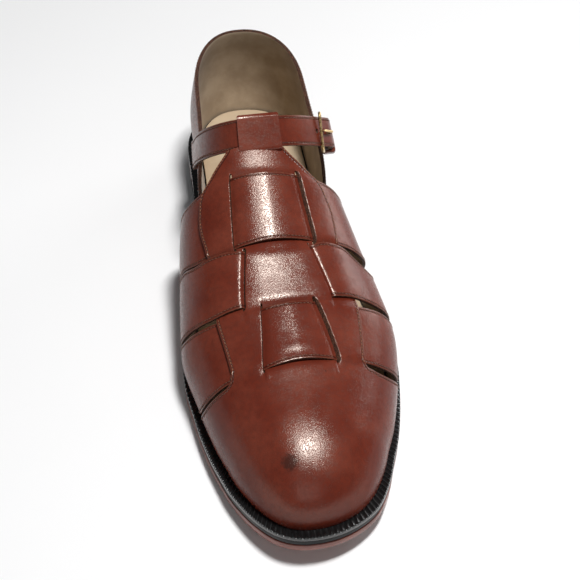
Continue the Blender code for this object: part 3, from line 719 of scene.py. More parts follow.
@dataclass(frozen=True)
class SoleLeather:
    """Brown outsole with a polished edge and faint layers."""

    name: str = "sole_leather"
    base: Colour = (0.250, 0.062, 0.036)
    dark: Colour = (0.130, 0.032, 0.020)

    def make(self) -> Material:
        """Build the material."""
        g = Graph(self.name)
        cloud = g.noise(55.0, 4.0)
        layer = g.noise(260.0, 4.0, 0.6, (0.25, 0.25, 6.0))
        colour = g.mix(g.span(cloud, 0.3, 0.75), self.base, self.dark)
        colour = g.mix(g.span(layer, 0.35, 0.7, 0.0, 0.35), colour, self.dark)
        roughness = g.span(cloud, 0.3, 0.7, 0.36, 0.5)
        normal = g.bump(g.noise(900.0, 4.0), 0.00008, 0.5)
        g.shader_value("Coat Weight", 0.2)
        g.shader_value("Coat Roughness", 0.28)
        return g.finish(colour, roughness, normal)


@dataclass(frozen=True)
class Footbed:
    """Cream insole leather, a little darker where the foot rests."""

    name: str = "footbed"
    base: Colour = (0.56, 0.44, 0.30)
    dark: Colour = (0.37, 0.26, 0.16)

    def make(self) -> Material:
        """Build the material."""
        g = Graph(self.name)
        cloud = g.noise(26.0, 4.0)
        colour = g.mix(g.span(cloud, 0.38, 0.72, 0.0, 0.8), self.base, self.dark)
        pores = g.cells(900.0)
        normal = g.bump(g.span(pores, 0.0, 0.12), 0.00008, 0.6)
        normal = g.bump(g.noise(1800.0, 3.0), 0.00006, 0.5, normal)
        g.shader_value("Roughness", 0.62)
        return g.finish(colour, None, normal)


@dataclass(frozen=True)
class Thread:
    """Waxed thread."""

    name: str
    base: Colour
    dark: Colour

    def make(self) -> Material:
        """Build the material."""
        g = Graph(self.name)
        ply = g.noise(1500.0, 3.0)
        colour = g.mix(g.span(ply, 0.35, 0.7), self.base, self.dark)
        normal = g.bump(ply, 0.00010, 0.7)
        g.shader_value("Roughness", 0.55)
        return g.finish(colour, None, normal)


@dataclass(frozen=True)
class SatinBrass:
    """Buckle metal, slightly darkened in the hollows."""

    name: str = "satin_brass"
    base: Colour = (0.62, 0.44, 0.20)
    dark: Colour = (0.30, 0.19, 0.08)

    def make(self) -> Material:
        """Build the material."""
        g = Graph(self.name)
        cloud = g.noise(500.0, 5.0, 0.6)
        colour = g.mix(g.span(cloud, 0.45, 0.8, 0.0, 0.6), self.base, self.dark)
        roughness = g.span(cloud, 0.3, 0.8, 0.22, 0.42)
        normal = g.bump(g.noise(3000.0, 2.0), 0.00003, 0.4)
        g.shader_value("Metallic", 1.0)
        return g.finish(colour, roughness, normal)


class Finish(Enum):
    """Finishes of the shoe."""

    LEATHER = "leather"
    VAMP = "vamp"
    CUT = "cut"
    LINING = "lining"
    WELT = "welt"
    MIDSOLE = "midsole"
    LIFT = "lift"
    OUTSOLE = "outsole"
    FOOTBED = "footbed"
    THREAD = "thread"
    TAN_THREAD = "tan_thread"
    BRASS = "brass"


class Palette:
    """Makes each finish once."""

    def __init__(self) -> None:
        """Start with no finish made."""
        self.made: dict[Finish, Material] = {}
        self.recipes: dict[Finish, object] = {
            Finish.LEATHER: PolishedLeather(),
            Finish.VAMP: PolishedLeather(name="vamp_leather", scuff=True),
            Finish.CUT: CutEdge(),
            Finish.LINING: SoftLining(),
            Finish.WELT: MouldedRubber("welt_rubber", roughness=0.24, dusty=0.10, coat=0.35),
            Finish.MIDSOLE: MouldedRubber("midsole_edge", dusty=0.08, coat=0.0, specular=0.18),
            Finish.LIFT: MouldedRubber("lift_rubber", roughness=0.55, dusty=0.5, coat=0.0),
            Finish.OUTSOLE: SoleLeather(),
            Finish.FOOTBED: Footbed(),
            Finish.THREAD: Thread("brown_thread", (0.170, 0.062, 0.030), (0.070, 0.024, 0.012)),
            Finish.TAN_THREAD: Thread("tan_thread", (0.300, 0.115, 0.050), (0.140, 0.048, 0.022)),
            Finish.BRASS: SatinBrass(),
        }

    def get(self, finish: Finish) -> Material:
        """Give a finish's material, made on first use."""
        if finish not in self.made:
            self.made[finish] = self.recipes[finish].make()
        return self.made[finish]


PALETTE = Palette()


# Modelling helpers

def deselect() -> None:
    """Leave nothing selected."""
    if bpy.context.mode != "OBJECT":
        bpy.ops.object.mode_set(mode="OBJECT")
    bpy.ops.object.select_all(action="DESELECT")


def activate(piece: Piece) -> None:
    """Select a piece alone and make it the active one."""
    deselect()
    piece.select_set(True)
    bpy.context.view_layer.objects.active = piece


@contextmanager
def editing(piece: Piece) -> Iterator[None]:
    """Hold a piece alone in edit mode, all of it selected, for the block under it.

    Args:
        piece: the mesh object.

    Returns:
        The block's context.
    """
    activate(piece)
    bpy.ops.object.mode_set(mode="EDIT")
    bpy.ops.mesh.select_all(action="SELECT")
    yield
    bpy.ops.object.mode_set(mode="OBJECT")


def score(place: Sequence[float], way: Sequence[float], merge: float) -> None:
    """Cut a line round the piece in edit mode, where a plane crosses it."""
    bpy.ops.mesh.select_all(action="SELECT")
    bpy.ops.mesh.bisect(plane_co=place, plane_no=way, threshold=merge)


def take(name: str) -> Piece:
    """Name the object just added and leave it active."""
    made = bpy.context.active_object
    made.name = name
    made.data.name = name
    return made


def places(piece: Piece) -> Array:
    """Read a mesh's vertices."""
    flat = np.empty(len(piece.data.vertices) * 3)
    piece.data.vertices.foreach_get("co", flat)
    return flat.reshape(-1, 3)


def put(piece: Piece, points: Array) -> None:
    """Write a mesh's vertices."""
    piece.data.vertices.foreach_set("co", np.ascontiguousarray(points, dtype=np.float32).ravel())
    piece.data.update()


def apply_steps(piece: Piece) -> None:
    """Apply every modifier of a piece, in order."""
    activate(piece)
    for step in list(piece.modifiers):
        bpy.ops.object.modifier_apply(modifier=step.name)


def outward(piece: Piece, merge: float = 0.0) -> None:
    """Merge doubled vertices where asked and turn all faces outwards.

    Args:
        piece: the mesh object.
        merge: distance that counts as one place, or 0.
    """
    with editing(piece):
        if merge:
            bpy.ops.mesh.remove_doubles(threshold=merge)
        bpy.ops.mesh.normals_make_consistent(inside=False)


def smooth(piece: Piece, degrees: float = 40.0) -> None:
    """Shade a piece smooth but for edges sharper than an angle."""
    activate(piece)
    bpy.ops.object.shade_smooth_by_angle(angle=math.radians(degrees))


def dress(piece: Piece, *finishes: Finish) -> None:
    """Give a piece its finishes in slot order; faces marked before keep their slot."""
    for finish in finishes:
        piece.data.materials.append(PALETTE.get(finish))


def hand_over(piece: Piece, slot: str, *nodes: str) -> None:
    """Ride a piece on the shoe and hide the CAD nodes it stands for.

    Args:
        piece: the finished piece.
        slot: material slot; not used.
        nodes: CAD nodes.
    """
    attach(piece, "root")
    if nodes:
        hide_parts(*nodes)
    LOG.info("%s: %d faces", piece.name, len(piece.data.polygons))


def float_attribute(piece: Piece, name: str, values: Array) -> None:
    """Store one number for each vertex."""
    made = piece.data.attributes.new(name, "FLOAT", "POINT")
    made.data.foreach_set("value", np.ascontiguousarray(values, dtype=np.float32))


# Cut leather and seams

@dataclass
class CutPiece:
    """A flat cut piece, laid out in pattern places and then bent to its form."""

    name: str
    outline: Array
    wall: float = 1.8 * MM
    rim: float = 0.4 * MM
    holes: Sequence[Array] = ()
    rows: Iterable[float] = ()
    columns: Iterable[float] = ()

    def prism(self, name: str, outline: Array, top: float, bottom: float) -> Piece:
        """Raise a block of a given outline from a disc of as many sides.

        Args:
            name: the block's name.
            outline: its plan.
            top: upper height.
            bottom: lower height.

        Returns:
            The block.
        """
        deselect()
        bpy.ops.mesh.primitive_circle_add(vertices=len(outline), radius=1.0, fill_type="NGON")
        block = take(name)
        put(block, np.column_stack([outline, np.full(len(outline), bottom)]))
        with editing(block):
            bpy.ops.mesh.extrude_region_move(TRANSFORM_OT_translate={"value": (0.0, 0.0, top - bottom)})
            bpy.ops.mesh.select_all(action="SELECT")
            bpy.ops.mesh.normals_make_consistent(inside=False)
        return block

    def cut(self) -> Piece:
        """Cut the piece with its holes, round its rims and score a grid over it.

        Returns:
            The flat piece.
        """
        piece = self.prism(self.name, self.outline, 0.0, -self.wall)
        for line in self.holes:
            blade = self.prism(f"{self.name}_blade", line, self.wall, -2.0 * self.wall)
            step = piece.modifiers.new("hole", "BOOLEAN")
            step.operation = "DIFFERENCE"
            step.object = blade
            apply_steps(piece)
            bpy.data.objects.remove(blade, do_unlink=True)
        with editing(piece):
            if self.rim:
                self.round_rims(piece)
            for values, way in ((self.rows, (1.0, 0.0, 0.0)), (self.columns, (0.0, 1.0, 0.0))):
                for value in values:
                    score(tuple(value * w for w in way), way, 0.002 * MM)
        return piece

    def round_rims(self, piece: Piece) -> None:
        """Bevel the upper and lower rims."""
        mesh = bmesh.from_edit_mesh(piece.data)
        bpy.ops.mesh.select_all(action="DESELECT")
        bpy.ops.mesh.select_mode(type="EDGE")
        for edge in mesh.edges:
            flat = abs(edge.verts[0].co.z - edge.verts[1].co.z) < 1e-6
            edge.select_set(flat and edge.calc_face_angle(0.0) > 1.2)
        bmesh.update_edit_mesh(piece.data)
        bpy.ops.mesh.bevel(offset=self.rim, segments=2, profile=0.6, clamp_overlap=False)
        bpy.ops.mesh.select_mode(type="VERT")


def mark_sides(piece: Piece) -> None:
    """Give the cut sides slot 1 and the underside slot 2, while the piece is flat."""
    normals = np.empty(len(piece.data.polygons) * 3)
    piece.data.polygons.foreach_get("normal", normals)
    up = normals.reshape(-1, 3)[:, 2]
    kind = np.where(np.abs(up) < 0.93, 1, np.where(up < 0.0, 2, 0))
    piece.data.polygons.foreach_set("material_index", kind.astype(np.int32))


def line_distance(points: Array, line: Array) -> Array:
    """Give each point's distance to a line of points.

    Args:
        points: points to measure.
        line: the line's points.

    Returns:
        The distances.
    """
    best = np.full(len(points), 1.0)
    for a, b in zip(line[:-1], line[1:]):
        way = b - a
        t = np.clip(((points - a) @ way) / max(way @ way, 1e-18), 0.0, 1.0)
        best = np.minimum(best, np.linalg.norm(points - a - t[:, None] * way, axis=1))
    return best


@dataclass
class Seam:
    """Row of stitches, each a small rounded thread, along lines of places and directions."""

    name: str
    finish: Finish
    slot: str
    pitch: float = 1.75 * MM
    long: float = 1.4 * MM
    wide: float = 0.52 * MM
    high: float = 0.46 * MM
    proud: float = 0.10 * MM
    lines: list[tuple[Array, Array]] = field(default_factory=list)

    def add(self, line: Array, out: Array) -> None:
        """Add a run of stitches along a line, with its outward directions."""
        self.lines.append((line, out))

    def stitch(self) -> tuple[Array, list[tuple[int, ...]]]:
        """Model one stitch and give its places and faces.

        Returns:
            Places and faces.
        """
        deselect()
        bpy.ops.mesh.primitive_cube_add(size=1.0)
        model = take(f"{self.name}_model")
        with editing(model):
            bpy.ops.mesh.subdivide(number_cuts=1, smoothness=1.0)
        points = places(model)
        points *= (self.long, self.wide, self.high) / np.ptp(points, axis=0)
        points[:, 2] -= self.high * (2.0 * points[:, 0] / self.long) ** 2 * 0.5
        faces = [tuple(p.vertices) for p in model.data.polygons]
        bpy.data.objects.remove(model, do_unlink=True)
        return points, faces

    def sew(self) -> None:
        """Copy the stitch along every line, as one object."""
        shape, shape_faces = self.stitch()
        points: list[Array] = []
        faces: list[tuple[int, ...]] = []
        for line, out in self.lines:
            run = lengths(line)
            count = max(int(run[-1] / self.pitch), 1)
            middle = (np.arange(count) + 0.5) * run[-1] / count
            half = 0.5 * self.long
            ahead = unit(read_line(line, run, middle + half) - read_line(line, run, middle - half))
            up = read_line(out, run, middle)
            across = unit(np.cross(up, ahead))
            frames = np.stack([ahead, across, np.cross(ahead, across)], 1)
            raised = read_line(line, run, middle) + unit(up) * self.proud
            for centre, turn in zip(raised, frames):
                base = len(points) * len(shape)
                points.append(centre + shape @ turn)
                faces += [tuple(i + base for i in face) for face in shape_faces]
        mesh = bpy.data.meshes.new(self.name)
        mesh.from_pydata(np.concatenate(points).tolist(), [], faces)
        made = bpy.data.objects.new(self.name, mesh)
        bpy.context.scene.collection.objects.link(made)
        outward(made)
        smooth(made, 80.0)
        dress(made, self.finish)
        hand_over(made, self.slot)


def band(name: str, points: Array) -> Piece:
    """Shape a torus into a closed band whose sections are the rows of a net of points.

    Args:
        name: the piece's name.
        points: rows of section points.

    Returns:
        The band.
    """
    deselect()
    bpy.ops.mesh.primitive_torus_add(major_segments=points.shape[0], minor_segments=points.shape[1],
                                     major_radius=1.0, minor_radius=0.25)
    made = take(name)
    put(made, points.reshape(-1, 3))
    outward(made)
    return made


def ring(name: str, path: Callable[[Array], tuple[Array, Array, Array]], profile: Array,
         count: int) -> Piece:
    """Sweep a section round a closed path.

    Args:
        name: the piece's name.
        path: gives centre, first and second direction at shares of a full turn.
        profile: section points along the two directions, in turn order.
        count: sections round the band.

    Returns:
        The band, its faces outwards.
    """
    centre, first, second = path(np.arange(count) / count)
    return band(name, centre[:, None] + first[:, None] * profile[None, :, :1]
                + second[:, None] * profile[None, :, 1:2])


def round_profile(half_u: float, half_v: float, radius: float, steps: int = 3) -> Array:
    """Give the points of a rectangle with round corners.

    Args:
        half_u: half the width.
        half_v: half the height.
        radius: corner radius.
        steps: points at a corner.

    Returns:
        The points.
    """
    points = []
    for k, (u, v) in enumerate(((1, 1), (-1, 1), (-1, -1), (1, -1))):
        for t in np.linspace(0.0, 1.0, steps):
            turn = math.pi / 2.0 * (k + t)
            points.append((u * (half_u - radius) + radius * math.cos(turn),
                           v * (half_v - radius) + radius * math.sin(turn)))
    return np.array(points)


# Upper

@dataclass(frozen=True)
class Crease:
    """Soft trough or ridge across the leather, from one spot to another on the skin."""

    start: tuple[float, float]
    end: tuple[float, float]
    depth: float
    width: float = 3.0 * MM

    def lift(self, station: Array, girth: Array) -> Array:
        """Give the crease's lift at stations and girth shares.

        Args:
            station: stations.
            girth: girth shares.

        Returns:
            The lifts.
        """
        spots = np.stack([np.asarray(station), np.asarray(girth) * SKIN.spread], -1)
        a = np.array([self.start[0], self.start[1] * SKIN.spread])
        way = np.array([self.end[0], self.end[1] * SKIN.spread]) - a
        t = np.clip(((spots - a) @ way) / (way @ way), 0.0, 1.0)
        off = np.linalg.norm(spots - a - t[..., None] * way, axis=-1)
        return self.depth * np.exp(-(off / self.width) ** 2)


def pattern_columns() -> Array:
    """Give the lines scored along the upper's pattern, closer together by the slits."""
    plain = np.arange(-84.0, 84.5, 1.4)
    close = np.arange(10.5, 22.5, 0.55)
    return np.concatenate([plain[np.abs(np.abs(plain) - 16.5) > 6.2], close, -close]) * MM


@dataclass(frozen=True)
class CrossStrap:
    """Strap woven through two slits of the panel.

    Edges are rows of girth share and station; slits are girth shares at the front and rear edge.
    """

    name: str
    front: Array
    rear: Array
    slits: tuple[tuple[float, float], tuple[float, float]]
    leave: float
    over: bool
    wall: float = 1.6 * MM
    flat: float = 0.72
    slants: tuple[float, float] = (0.25 * MM, 1.5 * MM)
    creases: tuple[Crease, ...] = ()

    def slant(self, station: Array, girth: Array, up: Array) -> Array:
        """Give how far the panel's standing cut edges lean back from the slits.

        Args:
            station: stations on the panel.
            girth: girth shares.
            up: 0 at the panel's underside and 1 at its outside.

        Returns:
            Shift of the girth share.
        """
        f, half = self.share(station, girth), SKIN.half_girth(station)
        along = ease(-0.09, 0.0, f) * ease(1.09, 1.0, f)
        total = np.zeros_like(half)
        for side, sign in enumerate((-1.0, 1.0)):
            slit = self.slits[side][0] + (self.slits[side][1] - self.slits[side][0]) * f
            off = (girth - slit) * sign * half * (1.0 if self.over else -1.0)
            lean = np.clip(1.0 - off / (4.0 * MM), 0.0, 1.0) * (off > 0.0)
            total += sign * (1.0 if self.over else -1.0) * self.slants[side] * lean * along * up
        return total / half

    def share(self, station: Array, girth: Array) -> Array:
        """Give the place across the strap, 0 at its front and 1 at its rear edge."""
        front = through(self.front, girth)
        return (station - front) / (through(self.rear, girth) - front)

    def inside(self, station: Array, girth: Array) -> Array:
        """Give the distance in from the nearer slit, negative beside the middle."""
        f = self.share(station, girth)
        medial, lateral = (a + (b - a) * f for a, b in self.slits)
        return np.minimum(girth - medial, lateral - girth) * SKIN.half_girth(station)

    def beside(self, station: Array, girth: Array) -> Array:
        """Give the place between the slit, 0, and the panel's edge, 1."""
        f = self.share(station, girth)
        medial, lateral = (abs(a + (b - a) * f) for a, b in self.slits)
        slit = np.where(girth < 0.0, medial, lateral)
        return (np.abs(girth) - slit) / (self.leave - slit)

    def lift(self, station: Array, girth: Array) -> Array:
        """Give the lift of the strap's outside off the last.

        Args:
            station: stations.
            girth: girth shares.

        Returns:
            The lifts.
        """
        inner, side = self.inside(station, girth) / MM, self.beside(station, girth)
        away = (np.abs(girth) - self.leave) / (self.flat - self.leave)
        if self.over:
            middle = through(np.array([(0, -0.7), (2.0, 0.15), (6.0, 0.95), (12.0, 1.6), (18.0, 2.0)]), inner)
            strip = through(np.array([(0, -0.7), (0.4, -0.95), (1, -1.05)]), side)
            past = through(np.array([(0, -1.05), (0.12, -0.9), (0.5, -0.3), (1, 0)]), away)
        else:
            middle = through(np.array([(0, -0.75), (6, -1.2)]), inner)
            strip = through(np.array([(0, -0.2), (0.04, 0.6), (0.10, 0.95), (0.25, 1.15), (0.78, 1.2),
                                      (1, 0.95)]), side)
            past = through(np.array([(0, 0.95), (0.12, 0.6), (0.42, 0.12), (1, 0)]), away)
        lift = np.where(inner > 0.0, middle, np.where(away < 0.0, strip, past)) * MM
        f = self.share(station, girth)
        lift = lift - 0.2 * MM * np.abs(2.0 * f - 1.0) ** 4
        return lift + sum((c.lift(station, girth) for c in self.creases), np.zeros_like(lift))

    def press(self, station: Array, girth: Array) -> Array:
        """Give the lift that the strap forces on the panel it runs through.

        Args:
            station: stations.
            girth: girth shares.

        Returns:
            The lifts.
        """
        f = self.share(station, girth)
        wide = through(self.rear, girth) - through(self.front, girth)
        strength = ease(-2.8 * MM, 2.6 * MM, f * wide) * ease(-2.8 * MM, 2.6 * MM, (1.0 - f) * wide)
        inner, side = self.inside(station, girth) / MM, self.beside(station, girth)
        if self.over:
            middle = through(np.array([(0, -1.6), (10, -1.3)]), inner)
            strip = through(np.array([(0, 1.15), (0.5, 1.0), (1, 0.8)]), side)
        else:
            middle = through(np.array([(0, 1.15), (5, 1.05), (12, 0.8)]), inner)
            strip = through(np.array([(0, -1.7), (0.5, -1.3), (1, -1.0)]), side)
        away = ease(1.5, 1.0, side)
        return np.where(inner > 0.0, middle, strip * away) * strength * MM

    def slit_outline(self, side: int, half: float = 0.22 * MM, past: float = 1.5 * MM) -> Array:
        """Give the pattern outline of a slit, with round ends.

        Args:
            side: 0 for the medial and 1 for the lateral slit.
            half: half the slit's width.
            past: length that the slit runs past the strap at each end.

        Returns:
            Pattern places round the slit.
        """
        ends = []
        for f in (0, 1):
            girth = self.slits[side][f]
            station = through((self.front, self.rear)[f], np.array([girth]))[0]
            ends.append(SKIN.lay_flat(station, girth))
        way = unit(ends[1] - ends[0])
        normal = np.array([-way[1], way[0]])
        a, b = ends[0] - way * past, ends[1] + way * past
        turn = np.linspace(-math.pi / 2.0, math.pi / 2.0, 5)
        cap = [b + way * half * math.cos(t) + normal * half * math.sin(t) for t in turn]
        tail = [a - way * half * math.cos(t) - normal * half * math.sin(t) for t in turn]
        return np.array(cap + tail)

    def edge_line(self, rear: bool, inset: float, reach: float = 1.0) -> tuple[Array, Array]:
        """Give places along an edge, drawn in from it, as stations and girth shares.

        Args:
            rear: rear or front edge.
            inset: how far it is drawn in.
            reach: girth share at its ends.

        Returns:
            Stations and girth shares.
        """
        girth = np.linspace(-reach, reach, 301)
        edge = through(self.rear if rear else self.front, girth)
        return edge + (-inset if rear else inset), girth

    def outline(self) -> Array:
        """Give the strap's pattern outline."""
        girth = np.linspace(-1.0, 1.0, 161)
        front = SKIN.lay_flat(through(self.front, girth), girth)
        rear = SKIN.lay_flat(through(self.rear, girth), girth)
        return np.concatenate([front, rear[::-1]])

    def seam_lines(self, inset: float) -> list[tuple[Array, Array]]:
        """Give the shown stitch lines along both edges with their directions.

        Args:
            inset: distance from the edge.

        Returns:
            Places and directions of each run.
        """
        found = []
        for rear in (False, True):
            station, girth = self.edge_line(rear, inset, 0.995)
            line, out = SKIN.seam_line(station, girth, self.lift(station, girth))
            inner, away = self.inside(station, girth), np.abs(girth) - self.leave
            shown = (inner > 0.8 * MM) | (away > 0.008) if self.over else (inner < -0.8 * MM)
            found += [(line[part], out[part]) for part in stretches(shown)]
        return found

    def build(self, seam: Seam) -> None:
        """Cut the strap, bend it over the last and mark its stitch lines."""
        edge = np.concatenate([SKIN.lay_flat(*self.edge_line(r, 0.0)) for r in (False, True)])
        low, high = edge[:, 0].min(), edge[:, 0].max()
        made = CutPiece(self.name, self.outline(), self.wall, 0.35 * MM,
                        rows=np.arange(low + 1.0 * MM, high, 1.6 * MM),
                        columns=pattern_columns()).cut()
        mark_sides(made)
        flat = places(made)
        station, girth = SKIN.unfold(flat)
        skin = SKIN.place(station, girth)
        sides = [line_distance(skin, SKIN.place(*self.edge_line(r, 0.0))) for r in (False, True)]
        put(made, world(SKIN.place(station, girth, self.lift(station, girth) + flat[:, 2])))
        float_attribute(made, "edge", np.minimum(*sides) / MM)
        outward(made)
        smooth(made)
        dress(made, Finish.LEATHER, Finish.CUT, Finish.LINING)
        hand_over(made, "upper")
        for line, out in self.seam_lines(STITCH_INSET):
            seam.add(line, out)


@dataclass
class Upper:
    """Closed toe, instep panel and the three straps woven through it."""

    wall: float = 1.8 * MM
    vamp_rear: Array = field(default_factory=lambda: shares([
        (-1.0, 82.0), (-0.93, 79.0), (-0.80, 74.2), (-0.655, 71.2), (-0.56, 70.3), (-0.48, 70.6),
        (-0.445, 72.5), (-0.425, 75.5), (0.425, 75.5), (0.445, 73.5), (0.505, 72.2), (0.63, 72.8),
        (0.74, 75.7), (0.85, 80.4), (1.0, 85.0)]))
    panel_edge: Array = field(default_factory=lambda: np.array([
        (75.5, 0.425), (90, 0.418), (104, 0.408), (120, 0.388), (135, 0.368), (157, 0.364),
        (165, 0.318), (170, 0.235), (175, 0.150), (190, 0.120)]) * (MM, 1.0))
    panel_starts: float = 0.43
    panel_end: float = 176.0 * MM
    straps: tuple[CrossStrap, ...] = (
        CrossStrap(
            "strap_front",
            shares([(-1.0, 83.8), (-0.925, 80.4), (-0.80, 75.8), (-0.635, 72.7), (-0.49, 71.8),
                    (-0.215, 71.2), (0.0, 73.1), (0.23, 73.6), (0.45, 75.2), (0.595, 76.2), (0.72, 78.7),
                    (0.84, 82.4), (1.0, 88.8)]),
            shares([(-1.0, 122.5), (-0.82, 115.6), (-0.68, 109.5), (-0.555, 105.6), (-0.425, 102.9),
                    (-0.14, 101.7), (0.14, 103.4), (0.30, 103.6), (0.415, 104.9), (0.56, 107.0),
                    (0.77, 111.5), (1.0, 118.5)]),
            ((-0.222, -0.145), (0.240, 0.148)), 0.42, True,
            creases=(Crease((0.0800, -0.055), (0.0803, 0.070), 0.15 * MM, 1.6 * MM),
                     Crease((0.0768, -0.060), (0.0770, 0.080), -0.20 * MM, 1.4 * MM),
                     Crease((0.0905, -0.120), (0.0880, -0.060), -0.14 * MM, 2.4 * MM))),
        CrossStrap(
            "strap_middle",
            shares([(-1.0, 125.0), (-0.805, 116.8), (-0.68, 111.5), (-0.55, 107.4), (-0.415, 104.2),
                    (-0.255, 103.5), (0.255, 106.2), (0.39, 107.9), (0.535, 109.3), (0.745, 113.7),
                    (1.0, 121.5)]),
            shares([(-1.0, 161.2), (-0.80, 152.3), (-0.595, 143.6), (-0.47, 136.9), (-0.36, 134.0),
                    (-0.25, 131.9), (-0.165, 130.0), (0.18, 131.0), (0.245, 133.5), (0.325, 134.6),
                    (0.39, 134.5), (0.48, 132.4), (0.60, 132.6), (0.70, 136.5), (0.80, 141.0), (1.0, 148.0)]),
            ((-0.240, -0.165), (0.255, 0.180)), 0.392, False, slants=(1.2 * MM, 0.3 * MM)),
        CrossStrap(
            "strap_rear",
            shares([(-1.0, 162.5), (-0.80, 153.5), (-0.605, 144.9), (-0.465, 138.0), (-0.37, 135.4),
                    (-0.20, 132.5), (0.0, 133.4), (0.20, 134.2), (0.335, 136.0), (0.45, 138.0), (0.60, 140.6),
                    (0.70, 144.6), (0.80, 149.0), (1.0, 156.5)]),
            shares([(-1.0, 196.0), (-0.80, 186.5), (-0.60, 176.5), (-0.40, 169.0), (-0.20, 165.0),
                    (0.0, 164.0), (0.20, 165.0), (0.40, 169.0), (0.60, 174.5), (0.80, 181.5), (1.0, 190.0)]),
            ((-0.205, -0.142), (0.212, 0.190)), 0.372, True),
    )
    creases: tuple[Crease, ...] = (
        Crease((0.0708, -0.226), (0.0682, -0.231), -0.34 * MM, 1.3 * MM),
        Crease((0.0700, -0.212), (0.0672, -0.214), 0.28 * MM, 1.5 * MM),
        Crease((0.0708, 0.245), (0.0684, 0.250), -0.34 * MM, 1.3 * MM),
        Crease((0.0698, 0.230), (0.0672, 0.233), 0.26 * MM, 1.5 * MM),
        Crease((0.1010, -0.246), (0.0982, -0.252), -0.30 * MM, 1.3 * MM),
        Crease((0.1036, 0.260), (0.1010, 0.266), -0.30 * MM, 1.3 * MM),
        Crease((0.1300, -0.209), (0.1274, -0.213), -0.28 * MM, 1.3 * MM),
        Crease((0.1312, 0.217), (0.1286, 0.221), -0.28 * MM, 1.3 * MM),
        Crease((0.1345, -0.158), (0.1372, -0.150), -0.35 * MM, 1.4 * MM),
        Crease((0.1350, 0.172), (0.1378, 0.165), -0.35 * MM, 1.4 * MM),
    )

    def rear_station(self, girth: Array) -> Array:
        """Give the vamp's rear edge."""
        return through(self.vamp_rear, girth)

    def edge_lines(self, inset: float) -> list[tuple[Array, Array]]:
        """Give the medial and the lateral edge from the welt up to the panel's end.

        Args:
            inset: how far they are drawn in.

        Returns:
            Stations and girth shares of each.
        """
        lines = []
        for side in (-1.0, 1.0):
            girth = side * np.linspace(1.0, 0.425, 90)
            low = np.stack([self.rear_station(girth) - inset, girth], 1)
            station = np.linspace(75.5 * MM, self.panel_end, 140)[1:]
            high = np.stack([station, side * through(self.panel_edge, station)], 1)
            high[:, 1] -= side * inset / SKIN.half_girth(station)
            keep = np.abs(low[:, 1]) > np.abs(high[0, 1]) + 0.5 * inset / SKIN.spread
            line = np.concatenate([low[keep], high[high[:, 0] > low[keep][-1, 0] + 0.5 * inset]])
            lines.append((line[:, 0], line[:, 1]))
        return lines

    def outline(self) -> Array:
        """Give the pattern outline of vamp and panel.

        Returns:
            Pattern places.
        """
        (left_s, left_q), (right_s, right_q) = self.edge_lines(0.0)
        toe = np.linspace(-1.0, 1.0, 161)
        front = np.stack([np.full(len(toe), 0.02 * MM), toe * SKIN.spread], 1)
        right = SKIN.lay_flat(right_s, right_q)
        left = SKIN.lay_flat(left_s, left_q)[::-1]
        lateral = np.stack([np.linspace(1.5 * MM, right[0, 0] - MM, 60), np.full(60, SKIN.spread)], 1)
        return np.concatenate([front, lateral, right, left, lateral[::-1] * (1.0, -1.0)])

    def lift(self, station: Array, girth: Array) -> Array:
        """Give the lift of vamp and panel off the last.

        Args:
            station: stations.
            girth: girth shares.

        Returns:
            The lifts.
        """
        total = np.zeros(np.broadcast(station, girth).shape)
        for strap in self.straps:
            total = total + strap.press(station, girth)
        total *= ease(0.56, 0.44, np.abs(girth)) * ease(66.0 * MM, 73.0 * MM, station)
        return total + sum((c.lift(station, girth) for c in self.creases), np.zeros_like(total))

    def build(self) -> None:
        """Make the leather pieces and their seams."""
        brown = Seam("upper_stitches", Finish.THREAD, "upper")
        tan = Seam("panel_stitches", Finish.TAN_THREAD, "upper")
        for strap in self.straps:
            strap.build(brown)
        end = SKIN.run(self.panel_end)
        rows = np.concatenate([np.arange(0.5, 4.0, 0.5), np.arange(4.0, end / MM, 1.5)]) * MM
        made = CutPiece("vamp_and_panel", self.outline(), self.wall, 0.4 * MM,
                        [s.slit_outline(side) for s in self.straps for side in (0, 1)],
                        rows, pattern_columns()).cut()
        mark_sides(made)
        flat = places(made)
        station, girth = SKIN.unfold(flat)
        skin = SKIN.place(station, girth)
        sides = [line_distance(skin, SKIN.place(*line)) for line in self.edge_lines(0.0)]
        up = 1.0 + np.clip(flat[:, 2] / self.wall, -1.0, 0.0)
        lift = self.lift(station, girth) + flat[:, 2]
        leaned = girth + sum(strap.slant(station, girth, up) for strap in self.straps)
        put(made, world(SKIN.place(station, leaned, lift)))
        float_attribute(made, "edge", np.minimum(*sides) / MM)
        outward(made, 0.004 * MM)
        smooth(made)
        dress(made, Finish.VAMP, Finish.CUT, Finish.LINING)
        hand_over(made, "upper", "upper")
        for station, girth in self.edge_lines(STITCH_INSET):
            line, out = SKIN.seam_line(station, girth, self.lift(station, girth))
            side = np.abs(girth) > self.panel_starts
            brown.add(line[side], out[side])
            f = self.straps[1].share(station, girth)
            covered = (f > -0.03) & (f < 1.03)
            for part in stretches(~side & ~covered):
                tan.add(line[part], out[part])
        brown.sew()
        tan.sew()


# Sole

